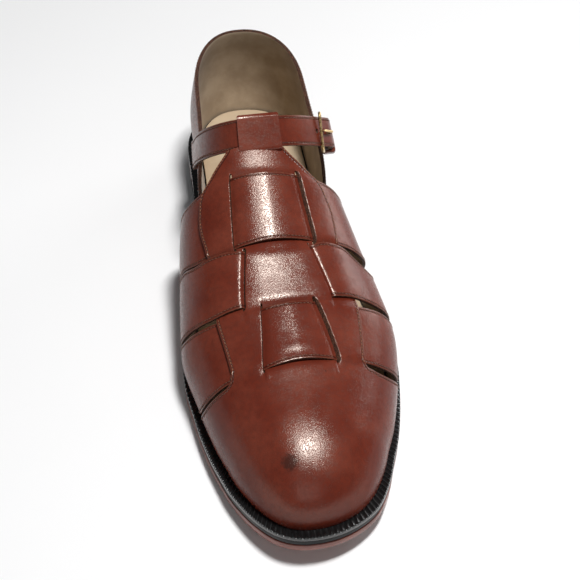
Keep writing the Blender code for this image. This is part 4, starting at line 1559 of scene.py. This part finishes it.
@dataclass
class Welt:
    """Ribbed ring that the upper stands on."""

    wide: float = 7.0 * MM
    thick: float = 3.0 * MM
    ribs: int = 242
    fold: int = 6
    rib_height: float = 0.85 * MM

    def build(self) -> None:
        """Shape the ring and press the ribs into its top."""
        count = self.ribs * self.fold
        outer, inner = LAST.outline(0.0, count), LAST.outline(self.wide, count)
        deselect()
        section = [(0.0, 0.45), (0.0, 0.85), (0.035, 0.97), (0.10, 1.0), (0.40, 1.0), (0.62, 1.0),
                   (0.72, 0.93), (1.0, 0.93), (1.0, 0.0), (0.06, 0.0), (0.02, 0.06), (0.0, 0.2)]
        section.append(section[0])
        bpy.ops.mesh.primitive_grid_add(x_subdivisions=len(section) - 1, y_subdivisions=count, size=1.0)
        made = take("welt_ring")
        turn = np.arange(count) / self.fold * 2.0 * math.pi
        wave = 0.5 - 0.5 * np.cos(turn)
        rib = wave ** 1.5
        rings = []
        for inward, up in section:
            plan = outer + (inner - outer) * inward
            top = LAST.feather_height(outer[:, 1] * (1.0 - inward) + inner[:, 1] * inward)
            ribbed = 1.0 if 0.03 < inward < 0.7 and up > 0.9 else (0.55 if up == 0.85 else 0.0)
            drop = ribbed * self.rib_height * (1.0 - rib)
            z = top - self.thick * (1.0 - up) - drop
            rings.append(np.column_stack([plan, z + 0.25 * MM * ribbed]))
        closed = np.stack(rings, 1)
        closed = np.concatenate([closed, closed[:1]])
        put(made, world(closed.reshape(-1, 3)))
        outward(made, 0.0005 * MM)
        smooth(made, 50.0)
        dress(made, Finish.WELT)
        hand_over(made, "welt", "welt")


@dataclass
class SoleLayer:
    """Solid layer of the sole between two depths under the welt's top."""

    name: str
    node: str
    finish: Finish
    top: float
    bottom: float
    inset: float
    groove: Array
    first: float = 0.0
    level: bool = False
    taper: float = 0.0
    count: int = 360
    end_radius: float = 35 * MM
    breast_hollow: float = 1.5 * MM

    def build(self) -> None:
        """Raise the layer from its outline, score it and bend it to the sole's line."""
        line = LAST.outline(self.inset, self.count)
        if self.first:
            line = self.clipped(line)
        deep = self.bottom - self.top
        made = CutPiece(self.name, line[:, ::-1], deep, 0.0, rows=np.arange(4.0, 298.0, 4.0) * MM,
                        columns=np.arange(-56.0, 60.0, 8.0) * MM).cut()
        with editing(made):
            for depth in self.groove[:, 0]:
                score((0.0, 0.0, -depth * deep), (0.0, 0.0, 1.0), 1e-7)
        flat = places(made)
        closed = np.concatenate([line, line[:1]])[:, ::-1]
        side = line_distance(flat[:, :2], closed) < 0.01 * MM
        share = np.clip(-flat[:, 2] / deep, 0.0, 1.0)
        pull = np.interp(share, self.groove[:, 0], self.groove[:, 1]) + self.taper * share
        low, high = line[:, 1].min() + self.end_radius, line[:, 1].max() - self.end_radius
        middle = np.column_stack([np.clip(flat[:, 0], low, high), np.full(len(flat), LAST.tip_offset / 2.0)])
        way = unit(flat[:, :2] - middle, 1e-9)
        if self.first:
            way[:, 0] = np.where(flat[:, 0] < self.first + 0.5 * MM, -0.35, way[:, 0])
        plan = flat[:, :2] - way * (pull * side)[:, None]
        if self.level:
            z = self.top_height() - share * deep
        else:
            z = LAST.feather_height(flat[:, 0]) - self.top - share * deep
        put(made, world(np.column_stack([plan[:, 1], plan[:, 0], z])))
        outward(made)
        smooth(made, 35.0)
        dress(made, self.finish)
        hand_over(made, self.node, self.node)

    def top_height(self) -> float:
        """Give the level top of a heel layer."""
        return LAST.heel_rise - self.top

    def clipped(self, line: Array) -> Array:
        """Keep the outline behind the heel breast.

        Args:
            line: the whole outline.

        Returns:
            The outline with its breast.
        """
        keep = line[line[:, 1] > self.first]
        order = np.argsort(np.arctan2(keep[:, 0] - LAST.tip_offset / 2.0, keep[:, 1] - self.first - 20 * MM))
        lateral, medial = LAST.reaches(np.array([self.first]), self.inset)
        front = np.linspace(lateral[0], medial[0], 15)
        off = (front - front.mean()) / (front[0] - front.mean())
        breast = np.stack([front, self.first + self.breast_hollow * (1.0 - off ** 2)], 1)
        return np.concatenate([keep[order], breast])


@dataclass
class Insole:
    """Cream footbed, softly crowned at its edge."""

    gap: float = 7.45 * MM
    stand: float = 2.0 * MM
    wall: float = 4.6 * MM
    hollows: Array = field(default_factory=lambda: table([(262, 26, 20, 0.6), (92, 34, 30, 0.5)]))

    def build(self) -> None:
        """Cut the footbed and lay it in."""
        line = LAST.outline(self.gap, 240)
        made = CutPiece("footbed", line[:, ::-1], self.wall, 0.8 * MM, rows=np.arange(8.0, 294.0, 3.0) * MM,
                        columns=np.arange(-50.0, 54.0, 3.0) * MM).cut()
        flat = places(made)
        dip = sum(deep * np.exp(-((flat[:, 0] - station) / long) ** 2 - (flat[:, 1] / wide) ** 2)
                  for station, long, wide, deep in self.hollows)
        z = LAST.feather_height(flat[:, 0]) + self.stand + flat[:, 2] - dip * (flat[:, 2] > -MM)
        put(made, world(np.column_stack([flat[:, 1], flat[:, 0], z])))
        outward(made)
        smooth(made)
        dress(made, Finish.FOOTBED)
        hand_over(made, "insole", "insole")


def build_sole() -> None:
    """Make the welt, the layers under it, the heel and the footbed."""
    breast = 224.0 * MM
    mid_groove = shares([(0.0, 0.30), (0.10, 0.02), (0.50, -0.05), (0.86, 0.05), (0.97, 0.35), (1.0, 0.45)])
    out_groove = shares([(0.0, 0.35), (0.08, 0.06), (0.45, -0.04), (0.84, 0.05), (0.96, 0.40), (1.0, 0.75)])
    heel_groove = shares([(0.0, 0.30), (0.06, 0.0), (0.30, 0.0), (0.345, 0.22), (0.39, 0.0), (0.62, 0.0),
                          (0.665, 0.22), (0.71, 0.0), (0.95, 0.0), (1.0, 0.28)])
    lift_groove = shares([(0.0, 0.28), (0.08, 0.0), (0.85, 0.05), (0.96, 0.3), (1.0, 0.6)])
    Welt().build()
    SoleLayer("midsole_layer", "midsole", Finish.MIDSOLE, 3.12 * MM, 6.32 * MM, 0.5 * MM, mid_groove).build()
    SoleLayer("outsole_layer", "outsole", Finish.OUTSOLE, 6.44 * MM, 10.5 * MM, 0.2 * MM, out_groove).build()
    SoleLayer("heel_lifts", "heel_stack", Finish.MIDSOLE, 0.12 * MM, 8.88 * MM, 0.2 * MM, heel_groove,
              first=breast, level=True, taper=0.7 * MM).build()
    SoleLayer("heel_top_piece", "top_lift", Finish.LIFT, 9.0 * MM, 14.0 * MM, 0.9 * MM, lift_groove,
              first=breast, level=True, taper=0.5 * MM).build()
    Insole().build()


# Heel counter

@dataclass
class HeelCounter:
    """Stiff heel piece with a stitched top line and a back seam."""

    foot: float = 201.0 * MM
    head: float = 216.0 * MM
    wall: float = 2.0 * MM
    high: float = 58.0 * MM
    low: float = 41.0 * MM
    around: float = 210.0 * MM
    tall: float = 50.0 * MM
    corner: float = 9.0 * MM
    foot_points: int = 61
    back_seam: float = 2.2 * MM
    form: Array = field(default_factory=lambda: table([
        (0, 0.0, 0.0), (6, 1.2, 1.0), (14, 2.3, 1.9), (24, 2.6, 2.0), (36, 1.4, 0.8), (48, -0.8, -1.4),
        (60, -3.2, -4.2), (80, -7.0, -9.0)]))

    def lay_net(self, rows: int = 61, columns: int = 241) -> None:
        """Lay the net of the counter's outside.

        Args:
            rows: rows up.
            columns: columns round.
        """
        back = np.sin(np.linspace(0.0, math.pi, columns)) ** 2
        knots = np.empty((rows, columns, 3))
        for r, f in enumerate(np.linspace(0.0, 1.0, rows)):
            start = self.foot + (self.head - self.foot) * f
            turn = np.linspace(0.0, math.pi / 2.0, 801)
            s = start + (LAST.length - LAST.welt_shown - 0.02 * MM - start) * np.sin(turn)
            lateral, medial = LAST.reaches(s, LAST.welt_shown)
            line = np.concatenate([np.stack([lateral, s], 1), np.stack([medial, s], 1)[::-1]])
            plan = spread_even(line, columns)
            ahead = np.gradient(plan, axis=0)
            out = unit(np.stack([ahead[:, 1], -ahead[:, 0]], 1))
            height = f * (self.low + (self.high - self.low) * back)
            swell = through(self.form, height, 1) * back + through(self.form, height, 2) * (1.0 - back)
            plan_out = plan + out * swell[:, None]
            knots[r] = np.column_stack([plan_out, LAST.feather_height(plan[:, 1]) + height])
        self.points = Net(knots)
        self.directions = Net.normals(knots)
        self.rows, self.columns = rows - 1, columns - 1

    def place(self, round_share: Array, up_share: Array, lift: Array) -> Array:
        """Give points off the counter's outside.

        Args:
            round_share: shares of the way round.
            up_share: shares of the height.
            lift: heights off the outside.

        Returns:
            One point for each.
        """
        down, across = np.asarray(up_share) * self.rows, np.asarray(round_share) * self.columns
        out = unit(self.directions.read(down, across))
        return self.points.read(down, across) + out * np.asarray(lift)[..., None]

    def outline(self) -> Array:
        """Give the pattern outline, its upper corners round.

        Returns:
            Pattern places.
        """
        radius, count = self.corner, self.foot_points
        turn = np.linspace(0.0, math.pi / 2.0, 10)
        right = np.stack([self.around - radius + radius * np.cos(turn),
                          self.tall - radius + radius * np.sin(turn)], 1)
        left = np.stack([self.around - right[::-1, 0], right[::-1, 1]], 1)
        top = np.stack([np.linspace(self.around - radius, radius, 60)[1:-1], np.full(58, self.tall)], 1)
        foot = np.stack([np.linspace(0.0, self.around, count), np.zeros(count)], 1)
        return np.concatenate([foot, right, top, left])

    def build(self) -> None:
        """Cut the counter, bend it round the heel and sew it."""
        self.lay_net()
        outline = self.outline()
        made = CutPiece("heel_counter", outline, self.wall, 0.5 * MM, rows=np.arange(2.0, 209.0, 2.0) * MM,
                        columns=np.arange(2.0, 49.0, 2.0) * MM).cut()
        mark_sides(made)
        flat = places(made)
        line = outline[self.foot_points:]
        shown = np.concatenate([outline[self.foot_points - 1:], outline[:1]])
        edge = line_distance(flat[:, :2], shown) * 1.1
        put(made, world(self.place(flat[:, 0] / self.around, flat[:, 1] / self.tall, flat[:, 2])))
        float_attribute(made, "edge", edge / MM)
        outward(made)
        smooth(made)
        dress(made, Finish.LEATHER, Finish.CUT, Finish.LINING)
        hand_over(made, "counter", "counter")
        seam = Seam("counter_stitches", Finish.THREAD, "counter")
        inset, radius = STITCH_INSET, self.corner
        middle = np.clip(line, (radius, 0.0), (self.around - radius, self.tall - radius))
        drawn = line - unit(line - middle, 1e-9) * inset
        drawn = np.concatenate([[(self.around - inset, 2.5 * MM)], drawn, [(inset, 2.5 * MM)]])
        self.sew_line(seam, spread_even(drawn, 400))
        up = np.linspace(3.0 * MM, self.tall - 3.0 * MM, 120)
        for side in (-1.0, 1.0):
            self.sew_line(seam, np.stack([np.full(120, self.around / 2.0 + side * self.back_seam), up], 1))
        seam.sew()

    def sew_line(self, seam: Seam, drawn: Array) -> None:
        """Add a pattern line to a seam."""
        zero = np.zeros(len(drawn))
        line = self.place(drawn[:, 0] / self.around, drawn[:, 1] / self.tall, zero)
        out = self.place(drawn[:, 0] / self.around, drawn[:, 1] / self.tall, zero + MM) - line
        seam.add(world(line), out)


# Ankle strap

class Hoop:
    """Tilted hoop that carries the ankle strap over the instep and down the counter."""

    base = (222.0 * MM, 58.0 * MM)
    crown = (181.0 * MM, 101.5 * MM)
    power = 2.25
    centre = -4.0 * MM
    fall = 1.25
    gap = 0.25 * MM
    scale = 75.0 * MM

    def __init__(self, counter: HeelCounter) -> None:
        """Work out the hoop's directions."""
        self.form = counter.form
        rise = np.array([0.0, self.crown[0] - self.base[0], self.crown[1] - self.base[1]])
        self.high = float(np.linalg.norm(rise))
        self.up = rise / self.high
        self.axis = np.array([0.0, self.up[2], -self.up[1]])
        self.foot = np.array([self.centre, *self.base])

    def centre_line(self, place: Array, across: Array) -> Array:
        """Give the hoop's own points.

        Args:
            place: places along the hoop.
            across: distances across.

        Returns:
            One point for each.
        """
        place, across = np.broadcast_arrays(np.asarray(place, float), np.asarray(across, float))
        beyond = np.maximum(np.abs(place) - 1.0, 0.0) * self.high * self.fall
        angle = (1.0 - np.minimum(np.abs(place), 1.0)) * math.pi / 2.0
        foot = self.foot + self.axis * across[..., None] - self.up * beyond[..., None]
        lateral, medial = LAST.reaches(foot[..., 1], LAST.welt_shown)
        swell = through(self.form, foot[..., 2] - LAST.feather_height(foot[..., 1]), 2)
        reach = np.abs(np.where(place >= 0.0, lateral + swell, medial - swell) - self.centre) + self.gap
        wide = np.abs(np.cos(angle)) ** (2.0 / self.power)
        tall = np.abs(np.sin(angle)) ** (2.0 / self.power)
        point = foot + self.up * (tall * self.high)[..., None]
        point[..., 0] += np.where(place >= 0.0, 1.0, -1.0) * wide * reach
        return point

    def outward(self, place: Array, across: Array) -> Array:
        """Give outward directions, square to the strap.

        Args:
            place: places along the hoop.
            across: distances across.

        Returns:
            One direction for each.
        """
        place, step = np.asarray(place), 0.012
        along = self.centre_line(place + step, across) - self.centre_line(place - step, across)
        return unit(np.cross(along, self.axis))

    def at(self, place: Array, across: Array, out: Array) -> Array:
        """Give points at a place along, across and off the hoop."""
        return self.centre_line(place, across) + self.outward(place, across) * np.asarray(out)[..., None]


@dataclass
class AnkleStrap:
    """Strap with punched holes, its buckle on a tab, the keeper and the instep loop."""

    hoop: Hoop
    width: float = 15.0 * MM
    wall: float = 1.9 * MM
    tip: float = 1.12
    end: float = -1.24
    lift_line: Array = field(default_factory=lambda: shares([
        (-2.0, 0.0), (0.26, 0.0), (0.30, 0.0), (0.45, 0.3), (0.56, 1.1), (0.64, 2.8), (0.67, 3.7),
        (0.70, 4.1), (0.735, 3.95), (0.765, 2.7), (0.79, 2.25), (0.84, 2.25), (2.0, 2.25)]))
    rear_bar: tuple[float, float] = (0.70, 1.35 * MM)
    free_bar: tuple[float, float] = (0.555, 4.2 * MM)
    wire: float = 0.8 * MM
    frame_half: float = 9.2 * MM
    corner: float = 2.2 * MM
    eye_radius: float = 2.0 * MM
    bore_radius: float = 0.9 * MM
    tab_half: float = 6.4 * MM
    tab_end: float = 1.24
    tab_slot: float = 1.6 * MM
    prong: float = 0.65 * MM
    hole_places: tuple[float, ...] = (0.535, 0.60, 0.665, 0.73, 0.795)
    hole_radius: float = 1.05 * MM
    used_hole: float = 0.665
    used_hole_long: float = 1.9
    keeper_place: float = 0.85
    keeper_width: float = 7.0 * MM
    keeper_wall: float = 1.4 * MM
    loop_wall: float = 1.6 * MM
    loop_free: float = 0.2 * MM
    loop_half: float = 0.155

    def band_outline(self, start: float, end: float, half: float, tip: float, tail: float) -> Array:
        """Give a band's pattern outline with an eased tip and tail.

        Args:
            start: place along the hoop where the band starts.
            end: place where it ends.
            half: half its width.
            tip: length over which the end narrows to its rounded point.
            tail: radius of the corners at the start.

        Returns:
            Pattern places round the band.
        """
        scale = self.hoop.scale
        low, high = start * scale, end * scale
        turn = np.linspace(-math.pi / 2.0, math.pi / 2.0, 19)
        wide = half * np.sign(np.sin(turn)) * np.abs(np.sin(turn)) ** 0.9
        point = np.stack([high - tip + tip * np.cos(turn), wide], 1)
        bend = np.linspace(0.0, math.pi / 2.0, 6)
        back = np.stack([low + tail - tail * np.sin(bend), half - tail + tail * np.cos(bend)], 1)
        return np.concatenate([point, back, back[::-1] * (1.0, -1.0)])

    def bar(self, spot: tuple[float, float]) -> Array:
        """Give the middle of a buckle bar from its place along and off the hoop."""
        return self.hoop.at(np.array(spot[0]), np.array(0.0), np.array(spot[1]))

    def bend(self, made: Piece, lifted: bool, wall: float) -> None:
        """Bend a flat band along the hoop.

        Args:
            made: the flat band.
            lifted: whether it rises over the buckle.
            wall: its thickness.
        """
        flat = places(made)
        place = flat[:, 0] / self.hoop.scale
        raised = through(self.lift_line, place) if lifted else np.zeros(len(flat))
        put(made, world(self.hoop.at(place, -flat[:, 1], flat[:, 2] + wall + raised)))

    def finish_band(self, made: Piece, edge: Array, slot: str, *nodes: str) -> None:
        """Store the edge distances and dress a leather band.

        Args:
            made: the bent band.
            edge: distance of each vertex to a cut edge.
            slot: material slot.
            nodes: CAD nodes.
        """
        float_attribute(made, "edge", edge / MM)
        outward(made)
        smooth(made)
        dress(made, Finish.LEATHER, Finish.CUT, Finish.LINING)
        hand_over(made, slot, *nodes)

    def band_seam(self, seam: Seam, start: float, end: float, half: float, lifted: bool,
                  cross: float | None = None) -> None:
        """Sew a line along both sides of a band, and across it where asked.

        Args:
            seam: the seam.
            start: first place.
            end: last place.
            half: distance off the middle.
            lifted: whether it rises.
            cross: place of the cross line.
        """
        line = [(x, half) for x in np.linspace(start, end, 160)]
        runs = [line, [(x, -y) for x, y in line]]
        if cross is not None:
            runs.append([(cross, y) for y in np.linspace(-half, half, 40)])
        for run in runs:
            spots = np.array(run)
            raised = through(self.lift_line, spots[:, 0]) if lifted else np.zeros(len(spots))
            at = self.hoop.at(spots[:, 0], -spots[:, 1], self.wall + raised)
            out = self.hoop.at(spots[:, 0], -spots[:, 1], self.wall + raised + MM) - at
            seam.add(world(at), out)

    def build(self) -> None:
        """Make all pieces of the ankle strap."""
        seam = Seam("ankle_stitches", Finish.THREAD, "ankle_strap")
        self.build_strap(seam)
        self.build_tab(seam)
        self.build_buckle()
        self.build_keeper()
        self.build_loop()
        seam.sew()

    def build_strap(self, seam: Seam) -> None:
        """Cut the strap with its holes and bend it."""
        scale, half = self.hoop.scale, self.width / 2.0
        outline = self.band_outline(self.end, self.tip, half, 8.0 * MM, 2.5 * MM)
        holes = []
        turn = np.linspace(0.0, 2.0 * math.pi, 17)[:-1]
        radius = self.hole_radius
        for place in self.hole_places:
            long = self.used_hole_long if place == self.used_hole else 1.0
            holes.append(np.stack([place * scale + radius * long * np.cos(turn), radius * np.sin(turn)], 1))
        made = CutPiece("ankle_strap_band", outline, self.wall, 0.4 * MM, holes,
                        np.arange(self.end * scale + 2.0 * MM, self.tip * scale - MM, 1.8 * MM),
                        np.array([-5.0, -2.5, 0.0, 2.5, 5.0]) * MM).cut()
        mark_sides(made)
        flat = places(made)
        edge = np.minimum(half - np.abs(flat[:, 1]), line_distance(flat[:, :2], outline[:19]))
        self.bend(made, True, self.wall)
        self.finish_band(made, np.maximum(edge, 0.0), "ankle_strap", "ankle_strap")
        inset = half - STITCH_INSET
        self.band_seam(seam, self.end + 0.03, -self.loop_half - 0.05, inset, True, self.end + 0.03)
        self.band_seam(seam, self.loop_half + 0.05, self.tip - 8.0 * MM / scale, inset, True)

    def build_tab(self, seam: Seam) -> None:
        """Cut the tab, bend it and add its rolled end round the buckle's bar."""
        scale = self.hoop.scale
        start = self.rear_bar[0] + 0.012
        outline = self.band_outline(start, self.tab_end, self.tab_half, 3.0 * MM, 0.4 * MM)
        near, far, wide = start * scale - 2.0 * MM, (self.rear_bar[0] + 0.05) * scale, self.tab_slot
        slot = np.array([(near, -wide), (far, -wide), (far, wide), (near, wide)])
        made = CutPiece("buckle_tab_band", outline, self.wall, 0.35 * MM, [slot],
                        np.arange(start * scale + MM, self.tab_end * scale - MM, 2.0 * MM),
                        np.array([-4.0, 0.0, 4.0]) * MM).cut()
        mark_sides(made)
        flat = places(made)
        edge = self.tab_half - np.abs(flat[:, 1])
        self.bend(made, False, self.wall)
        self.finish_band(made, np.maximum(edge, 0.0), "buckle_tab", "buckle_tab")
        sewn = self.tab_end - 0.05
        self.band_seam(seam, start + 0.09, sewn, self.tab_half - 1.3 * MM, False, sewn)
        rear = self.bar(self.rear_bar)
        wide = (self.tab_half - self.tab_slot) / 2.0
        first = self.hoop.up
        second = np.cross(self.hoop.axis, first)
        radius = (self.eye_radius + self.bore_radius) / 2.0
        half_wall = (self.eye_radius - self.bore_radius) / 2.0
        for k, side in enumerate((-1.0, 1.0)):
            middle = rear + self.hoop.axis * side * (self.tab_slot + wide)

            def path(share: Array) -> tuple[Array, Array, Array]:
                """Give the centres round the bar and the two directions of the section.

                Args:
                    share: shares of a full turn.

                Returns:
                    Centres, first and second directions.
                """
                turn = share[:, None] * 2.0 * math.pi
                way = first * np.cos(turn) + second * np.sin(turn)
                return middle + way * radius, np.broadcast_to(self.hoop.axis, way.shape), way

            eye = ring(f"tab_eye_{k}", path, round_profile(wide, half_wall, 0.3 * MM), 28)
            put(eye, world(places(eye)))
            float_attribute(eye, "edge", np.full(len(eye.data.vertices), AWAY_FROM_EDGES))
            smooth(eye)
            dress(eye, Finish.LEATHER)
            hand_over(eye, "buckle_tab")

    def build_buckle(self) -> None:
        """Bend the frame's wire and the prong."""
        rear = self.bar(self.rear_bar)
        free = self.bar(self.free_bar)
        reach = float(np.linalg.norm(free - rear))
        ahead = (free - rear) / reach
        axis = self.hoop.axis
        out = np.cross(ahead, axis)
        out = out if out @ self.hoop.outward(np.array(self.rear_bar[0]), np.array(0.0)) > 0 else -out
        half_u, half_w = reach / 2.0, self.frame_half
        outline = round_profile(half_u, half_w, self.corner, 9)
        loop = np.concatenate([outline, outline[:1]])
        run = lengths(loop)

        def path(share: Array) -> tuple[Array, Array, Array]:
            """Give the centres round the frame and the two directions of the wire's section.

            Args:
                share: shares of a full turn.

            Returns:
                Centres, first and second directions.
            """
            goal = share * run[-1]
            spot = read_line(loop, run, goal)
            way = unit(read_line(loop, run, (goal + 0.2 * MM) % run[-1]) - spot)
            side = np.outer(way[:, 1], ahead) - np.outer(way[:, 0], axis)
            centre = rear + ahead * half_u + np.outer(spot[:, 0], ahead) + np.outer(spot[:, 1], axis)
            return centre, side, np.broadcast_to(out, side.shape)

        turn = np.arange(14) / 14.0 * 2.0 * math.pi
        wire = np.stack([np.cos(turn), 0.86 * np.sin(turn)], 1) * self.wire
        frame_ring = ring("buckle_ring", path, wire, 160)
        put(frame_ring, world(places(frame_ring)))
        smooth(frame_ring, 60.0)
        dress(frame_ring, Finish.BRASS)
        hand_over(frame_ring, "buckle_frame", "buckle_frame")
        self.build_prong(rear, free, ahead, out)

    def build_prong(self, rear: Array, free: Array, ahead: Array, out: Array) -> None:
        """Wind the prong round the rear bar and lay its point on the free bar.

        Args:
            rear: middle of the rear bar.
            free: middle of the free bar.
            ahead: direction from rear to free.
            out: outward direction.
        """
        gap = self.wire + self.prong + 0.12 * MM
        line = [rear + gap * (ahead * math.cos(math.radians(t)) + out * math.sin(math.radians(t)))
                for t in np.linspace(-205.0, 62.0, 15)]
        top = free + out * (self.wire + self.prong + 0.05 * MM)
        peak = rear + ahead * 3.6 * MM + out * 5.3 * MM
        line += [rear + ahead * 2.3 * MM + out * 4.9 * MM, peak, (top + peak) / 2.0, top]
        line.append(top + ahead * 1.4 * MM)
        count, sides = 60, 12
        spine = spread_even(np.array(line), count)
        for _ in range(3):
            spine[1:-1] = spine[1:-1] * 0.5 + (spine[2:] + spine[:-2]) * 0.25
        deselect()
        bpy.ops.mesh.primitive_cylinder_add(vertices=sides, radius=1.0, depth=1.0, end_fill_type="NGON")
        made = take("buckle_tongue")
        with editing(made):
            for k in range(1, count - 1):
                score((0.0, 0.0, k / (count - 1) - 0.5), (0.0, 0.0, 1.0), 1e-5)
        flat = places(made)
        k = np.clip(np.round((flat[:, 2] + 0.5) * (count - 1)).astype(int), 0, count - 1)
        along = unit(np.gradient(spine, axis=0))
        first = np.broadcast_to(self.hoop.axis, along.shape)
        second = np.cross(along, first)
        slim = np.where(k > count - 8, 1.0 - 0.10 * (k - count + 8), 1.0) * self.prong
        sideways = first[k] * (flat[:, 0] * slim)[:, None]
        put(made, world(spine[k] + sideways + second[k] * (flat[:, 1] * slim)[:, None]))
        outward(made)
        smooth(made, 60.0)
        dress(made, Finish.BRASS)
        hand_over(made, "buckle_prong", "buckle_prong")

    def sleeve(self, name: str, place: float, length: float, half: float, low: float, high: float,
               wall: float) -> Piece:
        """Shape a flat sleeve round the strap.

        Args:
            name: the piece's name.
            place: place of its middle along the hoop.
            length: half its length along the strap.
            half: half the free width inside.
            low: height of the inside's floor.
            high: height of the inside's ceiling.
            wall: thickness of the leather.

        Returns:
            The sleeve, dressed.
        """
        middle, tall = (low + high) / 2.0, (high - low) / 2.0 + wall / 2.0
        outline = round_profile(half + wall / 2.0, tall, 1.0 * MM, 6)
        loop = np.concatenate([outline, outline[:1]])
        run = lengths(loop)
        profile = round_profile(length, wall / 2.0, min(0.35 * MM, length * 0.4), 3)
        count = 96
        goal = np.arange(count) / count * run[-1]
        spot = read_line(loop, run, goal)
        way = unit(read_line(loop, run, (goal + 0.1 * MM) % run[-1]) - spot)
        side = np.stack([way[:, 1], -way[:, 0]], 1)
        across = spot[:, None, 0] + side[:, None, 0] * profile[None, :, 1]
        off = spot[:, None, 1] + side[:, None, 1] * profile[None, :, 1] + middle
        along = np.broadcast_to(place + profile[None, :, 0] / self.hoop.scale, across.shape)
        made = band(name, world(self.hoop.at(along, across, off)))
        float_attribute(made, "edge", np.full(len(made.data.vertices), AWAY_FROM_EDGES))
        smooth(made)
        dress(made, Finish.LEATHER)
        return made

    def build_keeper(self) -> None:
        """Make the keeper that holds the strap's tip."""
        free = 0.15 * MM
        half, top = self.width / 2.0 + free, self.lift_line[-1, 1] + self.wall + free
        made = self.sleeve("keeper_sleeve", self.keeper_place, self.keeper_width / 2.0, half, -free, top,
                           self.keeper_wall)
        hand_over(made, "keeper_loop", "keeper_loop")

    def build_loop(self) -> None:
        """Make the loop at the panel's top, which the strap runs through."""
        half = self.width / 2.0 + self.loop_free
        made = self.sleeve("instep_loop", 0.0, self.loop_half * self.hoop.scale, half, -self.loop_free,
                           self.wall + self.loop_free, self.loop_wall)
        hand_over(made, "upper")


# Camera and light

@dataclass
class Studio:
    """Pale floor, soft lights and the camera."""

    eye: tuple[float, float, float] = (-0.0720, -0.5160, 0.5605)
    fill: float = 0.90
    sensor: float = 36.0

    def build(self) -> None:
        """Set up the floor, lights and camera."""
        self.floor()
        self.light("overhead", (0.14, -0.13, 1.10), (0.0, 0.0, 0.05), 0.16, 12.0)
        self.light("right_card", (0.85, 0.62, 0.12), (0.0, 0.0, 0.05), 0.45, 6.0)
        self.light("front_fill", (-0.10, -0.90, 0.60), (0.0, 0.0, 0.0), 0.6, 1.0)
        world_shade = bpy.data.worlds.new("studio")
        world_shade.use_nodes = True
        background = world_shade.node_tree.nodes["Background"]
        background.inputs["Color"].default_value = (0.96, 0.97, 1.0, 1.0)
        background.inputs["Strength"].default_value = 0.09
        bpy.context.scene.world = world_shade
        bpy.context.scene.view_settings.view_transform = "Standard"
        self.camera()

    def floor(self) -> None:
        """Lay a wide pale floor."""
        deselect()
        bpy.ops.mesh.primitive_plane_add(size=6.0, location=(0.0, 0.0, -0.0002))
        made = take("floor")
        g = Graph("pale_floor")
        colour = g.mix(g.span(g.noise(3.0), 0.3, 0.7), (0.93, 0.93, 0.93), (0.95, 0.95, 0.95))
        g.shader_value("Roughness", 0.85)
        made.data.materials.append(g.finish(colour))

    def light(self, name: str, place: Sequence[float], target: Sequence[float], size: float,
              power: float) -> None:
        """Hang one softbox aimed at a target.

        Args:
            name: the lamp's name.
            place: where it hangs.
            target: where it aims.
            size: side of the square.
            power: watts.
        """
        deselect()
        bpy.ops.object.light_add(type="AREA", location=place)
        lamp = bpy.context.active_object
        lamp.name = name
        lamp.data.shape = "RECTANGLE"
        lamp.data.size = size
        lamp.data.size_y = size
        lamp.data.energy = power
        lamp.rotation_euler = (Vector(target) - Vector(place)).to_track_quat("-Z", "Y").to_euler()

    def camera(self) -> None:
        """Place the camera and aim it so that the shoe fills the frame."""
        deselect()
        bpy.ops.object.camera_add(location=self.eye)
        camera = bpy.context.active_object
        eye = np.array(self.eye)
        spots = np.concatenate([places(node) for node in frame["nodes"].values()]) - eye
        forward = spots.mean(0)
        for _ in range(12):
            axes = np.array(Vector(forward).to_track_quat("-Z", "Y").to_matrix())
            seen = spots @ axes
            u, v = seen[:, 0] / -seen[:, 2], seen[:, 1] / -seen[:, 2]
            middle = axes @ np.array([(u.min() + u.max()) / 2.0, (v.min() + v.max()) / 2.0, -1.0])
            forward = unit(middle)
        half = max(np.ptp(u), np.ptp(v)) / 2.0 / self.fill
        camera.rotation_euler = Vector(forward).to_track_quat("-Z", "Y").to_euler()
        camera.data.sensor_width = self.sensor
        camera.data.lens = self.sensor / 2.0 / half
        camera.data.clip_start = 0.01
        bpy.context.scene.camera = camera


def main() -> None:
    """Build the studio and the shoe's pieces."""
    logging.basicConfig(level=logging.INFO, format="%(message)s")
    Studio().build()
    build_sole()
    Upper().build()
    counter = HeelCounter()
    counter.build()
    AnkleStrap(Hoop(counter)).build()


if __name__ == "__main__":
    main()
